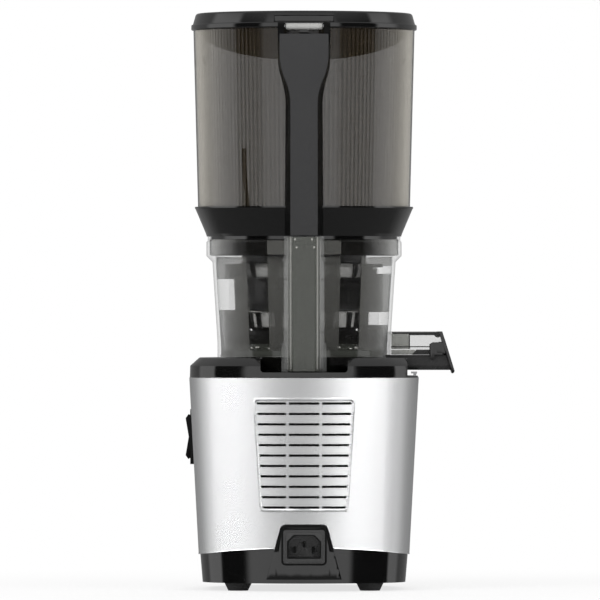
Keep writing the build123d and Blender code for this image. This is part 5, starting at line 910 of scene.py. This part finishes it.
left_half = carved(arc_piece(LINING, -90, LINING_HALF, 64),
                   [window(CUT_INNER, CUT_OUTER, -90, 36, 212.8, 236.6)])
right_half = carved(arc_piece(LINING, 90, LINING_HALF, 64),
                    [window(CUT_INNER, CUT_OUTER, 90, 33, 240.6, 246.6),
                     window(CUT_INNER, CUT_OUTER, 90, 40, 201.3, 211.3)])
settle(join(left_half, right_half), "drum_lining", frosted, "drum")
foot_ring = turned(oblong(63.0, 63.6, 177.0, 182.0), steps=128)
settle(foot_ring, "drum_foot_ring", smoky_column, "drum")
web = arc_piece(LINING, 0, WEB_HALF, 32)
web_top = arc_piece(oblong(72.9, 73.4, 255.2, 265.6), 0, WEB_HALF - 2, 32)
settle(join(web, web_top), "column_web", frosted_web, "drum")
collar = turned(oblong(71.6, 72.4, 255.0, 266.8))
settle(collar, "drum_collar_tint", smoky_collar, "drum")

# %% [markdown]
# ## Beads of light at the drum's floor
#
# Small moulded ribs round the floor each catch a point of light. They are too fine to model, so
# short pale bars of different lengths stand in for what they reflect.

# %% Painted glints at the floor
GLINT_RING_R, GLINT_LOW, GLINT_STEP, GLINT_COUNT = 61.8, 183.0, 5, 72

# Painted glints: short pale bars round the drum's floor.
glints = []
for number in range(GLINT_COUNT):
    angle = math.radians(GLINT_STEP * number)
    over_spout = abs(math.sin(angle) - 1) < 0.06
    if number % 5 in (0, 3) or over_spout:
        continue
    reach = math.radians(1.0 + number % 3) / 2
    z = GLINT_LOW + 0.5 * (number % 4)
    glints.append(bar(polar(GLINT_RING_R, angle - reach, z), polar(GLINT_RING_R, angle + reach, z),
                      0.55, 10))
settle(join(*glints), "drum_floor_glints", pale, "drum")

# %% [markdown]
# ## Column behind the drum
#
# A hollow column is moulded to the drum and hides the interlock's rod. It is denser than the
# wall, so a core fills it. Thin pale bars along its edges are painted highlights, and four small
# pale dots stand on its face.

# %% Column core, painted highlights on its edges, and four dots
COLUMN_LOW, COLUMN_TOP = 166.6, 268.3

core = slab([(-8.3, -97.6), (8.3, -97.6), (11.6, -93.8), (11.6, -84.0), (-11.6, -84.0),
             (-11.6, -93.8)], COLUMN_LOW, COLUMN_TOP, "Z", [(0.8, (0, 1, 2, 5))])
settle(core, "column_core", smoky_column, "drum")

edge_highlights_and_dots = []
# Painted highlights: thin pale bars along the column's edges.
for side in (-1, 1):
    for x, y, radius in [(9.9, -96.4, 0.42), (12.1, -90.0, 0.3)]:
        edge_highlights_and_dots.append(bar((side * x, y, 168.0), (side * x, y, 268.0), radius, 12))
for x, z in [(-6.9, 266.4), (6.0, 266.4), (-5.6, 260.3), (7.6, 260.3)]:
    edge_highlights_and_dots.append(bar((x, -98.25, z), (x, -97.5, z), 0.8, 16))
settle(join(*edge_highlights_and_dots), "column_edge_highlights_and_dots", column_light, "drum")

# %% [markdown]
# ## Strainer
#
# The strainer's mesh is held by moulded hoops and upright bars on a cone. One function gives the
# cone's radius at a height, so that every hoop and bar lies on it. Thin pale bars at the corners
# of its frame are painted highlights, where the moulding catches the light.

# %% Hoops and bars
STRAINER_LOW_R, STRAINER_TOP_R, STRAINER_LOW, STRAINER_TOP = 38.6, 47.8, 188.6, 255.0
HOOPS = [(198.4, 1.4), (212.4, 1.6), (236.2, 1.6), (249.0, 1.4)]
BAR_PLACES = (0, 2, 3, 4, 6, 8, 9, 10)


def strainer_r(z):
    """Outer radius of the strainer's cone."""
    share = (z - STRAINER_LOW) / (STRAINER_TOP - STRAINER_LOW)
    return STRAINER_LOW_R + (STRAINER_TOP_R - STRAINER_LOW_R) * share


ribs = []
for z, rise in HOOPS:
    low_r, high_r = strainer_r(z), strainer_r(z + rise)
    ribs.append(turned([(low_r - 0.5, z), (low_r + 0.9, z), (high_r + 0.9, z + rise),
                        (high_r - 0.5, z + rise)], [(0.4, (1, 2))], 96))
for number in BAR_PLACES:
    foot, top = [polar(strainer_r(z) + 0.1, math.radians(30 * number), z)
                 for z in (198.6, 250.0)]
    ribs.append(bar(foot, top, 1.0, 12))
settle(join(*ribs), "strainer_ribs", gloss_black, "drum")

# %% Painted highlights at the corners
# Painted highlights: thin pale bars at the corners of the strainer's frame.
corner_highlights = []
for side in (-1, 1):
    corner = (side * 44.4, -12.6, 238.2)
    foot = (side * 42.0, -9.0, 211.6)
    for start, end in [(corner, (side * 39.6, -24.0, 238.2)),
                       (corner, (side * 44.2, -12.6, 233.0)),
                       (foot, (side * 33.0, -28.0, 211.6)), (foot, (side * 42.0, -9.0, 214.5))]:
        corner_highlights.append(bar(start, end, 0.42, 10))
settle(join(*corner_highlights), "strainer_corner_highlights", pale, "drum")

# %% [markdown]
# ## Feed blade
#
# On top of the auger stands an upright blade that pulls whole fruit down: a curved wall whose
# outline rises to a narrow tip. The curve is easiest as an arc and the outline as a flat shape,
# so the blade is where the two overlap.

# %% Wing, a painted highlight along its edge, and its tip
BLADE_INNER, BLADE_OUTER, BLADE_LOW, BLADE_TOP = 44.5, 47.5, 255.8, 337.0
BLADE_OUTLINE = [(-40, 250), (-40, 265), (-26, 265), (-3.0, 331.0), (-1.0, BLADE_TOP),
                 (3.0, 331.0), (5.0, 303.0), (29.6, 271.0), (29.6, 250)]

wall = carved(arc_piece(oblong(BLADE_INNER, BLADE_OUTER, BLADE_LOW, BLADE_TOP), -90, 39, 32),
              [slab(BLADE_OUTLINE, -60.0, -30.0, "X")], "INTERSECT")
arm = box((-46.0, -6.0, BLADE_LOW), (-8.0, 6.0, 263.0), 0.6)
hub = turned([(9.0, BLADE_LOW), (12.0, BLADE_LOW), (12.0, 265.0), (0, 265.0), (0, 261.2),
              (9.0, 261.2)], [(1.0, (2,))], 64)
settle(join(wall, arm, hub), "feed_wing", inner_black, "auger", ["feed_blade"])
# Painted highlight: a pale strip along the wing's edge stands for the light it catches.
edge = slab([(-26.6, 264.2), (-25.2, 264.2), (-2.8, 327.0), (-4.2, 327.0)], -47.3, -45.0, "X",
            soft=0.1)
settle(edge, "feed_wing_edge_highlight", pale, "auger")
tip_outline = [(-6, 325), (6, 325), (6, 331.2), (3.1, 331.2), (-0.8, 338), (-6, 338)]
tip = carved(box((-47.6, -4.5, 326.0), (-44.2, 5.0, 336.9)),
             [slab(tip_outline, -50, -40, "X")], "INTERSECT")
settle(tip, "feed_wing_tip", matt_black, "auger")

# %% [markdown]
# ## Pulp chute
#
# The chute leaves the drum on its right, with a flap at its mouth. Its clear side is divided by
# dark ribs with frosted panels between them, and the flap has a cheek at each side. All of them
# are plain blocks with a small radius, because their ends are square on the real one.

# %% Cheeks of the flap
CHEEK_INNER, CHEEK_OUTER = 24.4, 26.0

cheeks = []
for side in (-1, 1):
    low_y, high_y = sorted((side * CHEEK_INNER, side * CHEEK_OUTER))
    cheeks.append(box((98.4, low_y, 178.0), (106.0, high_y, 186.8), 0.3))
settle(join(*cheeks), "pulp_cap_cheeks", gloss_black, "pulp_flap")

# %% Ribs and panels of the chute's side
SIDE_OUTER, SIDE_INNER = -23.7, -22.4
RIBS = [(80.5, 103.0, 193.6, 194.9), (80.2, 81.0, 183.0, 194.9), (66.5, 106.0, 184.4, 185.2)]
PANELS = [(66.7, 80.2, 183.0, 194.6), (66.7, 84.8, 178.8, 182.4)]


def side_block(low_x, high_x, low_z, high_z, sink, soft):
    """Block in the chute's side, sunk a little on both faces."""
    return box((low_x, SIDE_OUTER + sink, low_z), (high_x, SIDE_INNER - sink, high_z), soft)


frames = [side_block(*place, 0.0, 0.2) for place in RIBS]
for side in (-1, 1):
    frames.append(bar((67.5, side * 22.6, 195.3), (103.6, side * 22.6, 195.3), 0.7, 12))
frames.append(slab([(82.5, 178.7), (85.9, 182.6), (98.0, 182.6), (98.0, 178.7)],
                   SIDE_OUTER + 0.2, SIDE_INNER, soft=0.1))
settle(join(*frames), "chute_side_ribs", matt_black, "drum")
panels = [side_block(*place, 0.3, 0.1) for place in PANELS]
settle(join(*panels), "chute_side_panels", frosted_grey, "drum")

# %% [markdown]
# ## Floor
#
# The juicer stands on a plain pale floor. A lit floor alone turns grey towards the horizon, so
# the camera sees it glow white there, and a little less near the object, where the plain part of
# it keeps the shadow. Reflections pass straight through it to the studio below.

# %% White floor
FLOOR_REACH = 4.0

bm = bmesh.new()
bmesh.ops.create_grid(bm, x_segments=1, y_segments=1, size=FLOOR_REACH)
floor = holder(bm, "floor")
finish, tree, shader, place = blank("floor_white")
shader.inputs["Base Color"].default_value = grey(0.82)
shader.inputs["Roughness"].default_value = 0.9
rays = tree.nodes.new("ShaderNodeLightPath").outputs
away = tree.nodes.new("ShaderNodeVectorMath")
away.operation = "LENGTH"
tree.links.new(place, away.inputs[0])
fade = spread(tree, away.outputs["Value"], 0.72, 1.0, 0.1, 0.5)
glowing = calculate(tree, "MULTIPLY", rays["Is Camera Ray"], fade)


def shader_mix(factor, first, second):
    """One shader or another on the floor, by a factor."""
    node = tree.nodes.new("ShaderNodeMixShader")
    for slot, output in zip(node.inputs, (factor, first, second)):
        tree.links.new(output, slot)
    return node.outputs[0]


seen_floor = shader_mix(glowing, shader.outputs[0],
                        tree.nodes.new("ShaderNodeEmission").outputs[0])
whole_floor = shader_mix(rays["Is Glossy Ray"], seen_floor,
                         tree.nodes.new("ShaderNodeBsdfTransparent").outputs[0])
tree.links.new(whole_floor, tree.nodes["Material Output"].inputs["Surface"])
floor.data.materials.append(finish)
print("floor reaches", FLOOR_REACH, "m")

# %% [markdown]
# ## Studio
#
# Glossy black plastic looks like plastic only when something dark and something light mirror in
# it. Cards round the object would do that and throw shadows too, so the world draws them for
# reflections alone: a ramp round the horizon with dark flags on both sides, a dark ground and an
# even top. The camera sees plain white behind everything.

# %% World
FLAGS = [(-180, 0.25), (-120, 0.3), (-112, 0.8), (-79, 1.0), (-74, 0.01), (-47, 0.01),
         (-42, 0.78), (0, 0.7), (35, 0.78), (39, 0.01), (78, 0.01), (83, 1.0), (104, 0.8),
         (114, 0.3), (180, 0.25)]
GROUND, TOP, EVEN = 0.13, 0.4, 0.55

world = bpy.data.worlds.new("studio")
bpy.context.scene.world = world
world.use_nodes = True
sky = world.node_tree
split = sky.nodes.new("ShaderNodeSeparateXYZ")
sky.links.new(sky.nodes.new("ShaderNodeTexCoord").outputs["Generated"], split.inputs[0])
backward = calculate(sky, "MULTIPLY", split.outputs["Y"], -1.0)
azimuth = calculate(sky, "ARCTAN2", split.outputs["X"], backward)
height = calculate(sky, "ARCSINE", split.outputs["Z"])
horizon = ramp(sky, spread(sky, azimuth, 0.0, 1.0, -math.pi, math.pi),
               [((angle + 180) / 360, grey(level)) for angle, level in FLAGS])
below = spread(sky, height, 1.0, 0.0, math.radians(-22), math.radians(-14))
above = spread(sky, height, 0.0, 1.0, math.radians(26), math.radians(44))
mirrored = blend(sky, above, blend(sky, below, horizon, grey(GROUND)), grey(TOP))
rays = sky.nodes.new("ShaderNodeLightPath").outputs
lit = blend(sky, rays["Is Glossy Ray"], grey(EVEN), mirrored)
seen = calculate(sky, "MAXIMUM", rays["Is Camera Ray"], rays["Is Transmission Ray"])
sky.links.new(blend(sky, seen, lit, grey(1)), sky.nodes["Background"].inputs["Color"])
print("world ready with", len(FLAGS), "stops round the horizon")

# %% [markdown]
# ## Lamps
#
# Three soft boxes light everything and don't show in reflections. The brushed steel needs two
# broad bands of light up its sides, which on the black parts would be glare, so two strips are
# linked to the steel alone.

# %% Soft boxes and strips
MIDDLE = Vector((0, 0, 0.22))

steel_only = bpy.data.collections.new("steel_only")
for name in ("steel_housing", "steel_hem", "vent_border"):
    steel_only.objects.link(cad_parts.get(name) or bpy.data.objects[name])


def lamp(name, place, size, power, receivers=None):
    """Soft box aimed at the middle; one with receivers lights and shows in those alone."""
    data = bpy.data.lights.new(name, "AREA")
    data.shape = "RECTANGLE"
    data.size, data.size_y = size
    data.energy = power
    made = bpy.data.objects.new(name, data)
    bpy.context.scene.collection.objects.link(made)
    made.location = place
    made.visible_glossy = receivers is not None
    if receivers:
        made.light_linking.receiver_collection = receivers
    made.rotation_euler = (MIDDLE - Vector(place)).to_track_quat("-Z", "Y").to_euler()


def around(angle, up, distance=2.4):
    """Point at an angle from the back and a height angle, about the object's middle."""
    angle, up = math.radians(angle), math.radians(up)
    return Vector((math.sin(angle) * math.cos(up), -math.cos(angle) * math.cos(up),
                   math.sin(up))) * distance + MIDDLE


lamp("key", (-1.6, -1.6, 1.6), (1.2, 1.2), 34)
lamp("fill", (1.8, -1.2, 1.0), (1.2, 1.2), 22)
lamp("back", (0.2, 2.0, 1.8), (1.5, 1.5), 24)
lamp("left_strip", around(-67, 42), (1.8, 1.9), 64, steel_only)
lamp("right_strip", around(54, 42), (1.8, 1.9), 68, steel_only)
print("lamps ready, two of them for the steel alone")

# %% [markdown]
# ## Camera
#
# The object is seen square on from behind, through a lens so long that its sides stay parallel.
# An orthographic camera would lose the small perspective that a real lens keeps. The denoiser
# works from the picture alone, because its guide passes leave dots on layered clear walls.

# %% Camera and picture
SCALE = 0.767 * MM            # metres to a picture point
PICTURE = 600
AXIS_COLUMN = 304.0
FLOOR_ROW = 587.5
DISTANCE = 7.0
SENSOR = 36.0

camera_data = bpy.data.cameras.new("camera")
camera_data.sensor_width = SENSOR
camera_data.lens = SENSOR * DISTANCE / (SCALE * PICTURE)
camera_data.clip_end = 100
camera = bpy.data.objects.new("camera", camera_data)
bpy.context.scene.collection.objects.link(camera)
camera.location = (AXIS.x + (PICTURE / 2 - AXIS_COLUMN) * SCALE, -DISTANCE,
                   (FLOOR_ROW - PICTURE / 2) * SCALE)
camera.rotation_euler = (math.pi / 2, 0, 0)
bpy.context.scene.camera = camera
bpy.context.scene.view_settings.view_transform = "Standard"
bpy.context.scene.cycles.denoising_input_passes = "RGB"
print("camera lens", round(camera_data.lens), "mm")

# %% The end
bpy.context.view_layer.update()
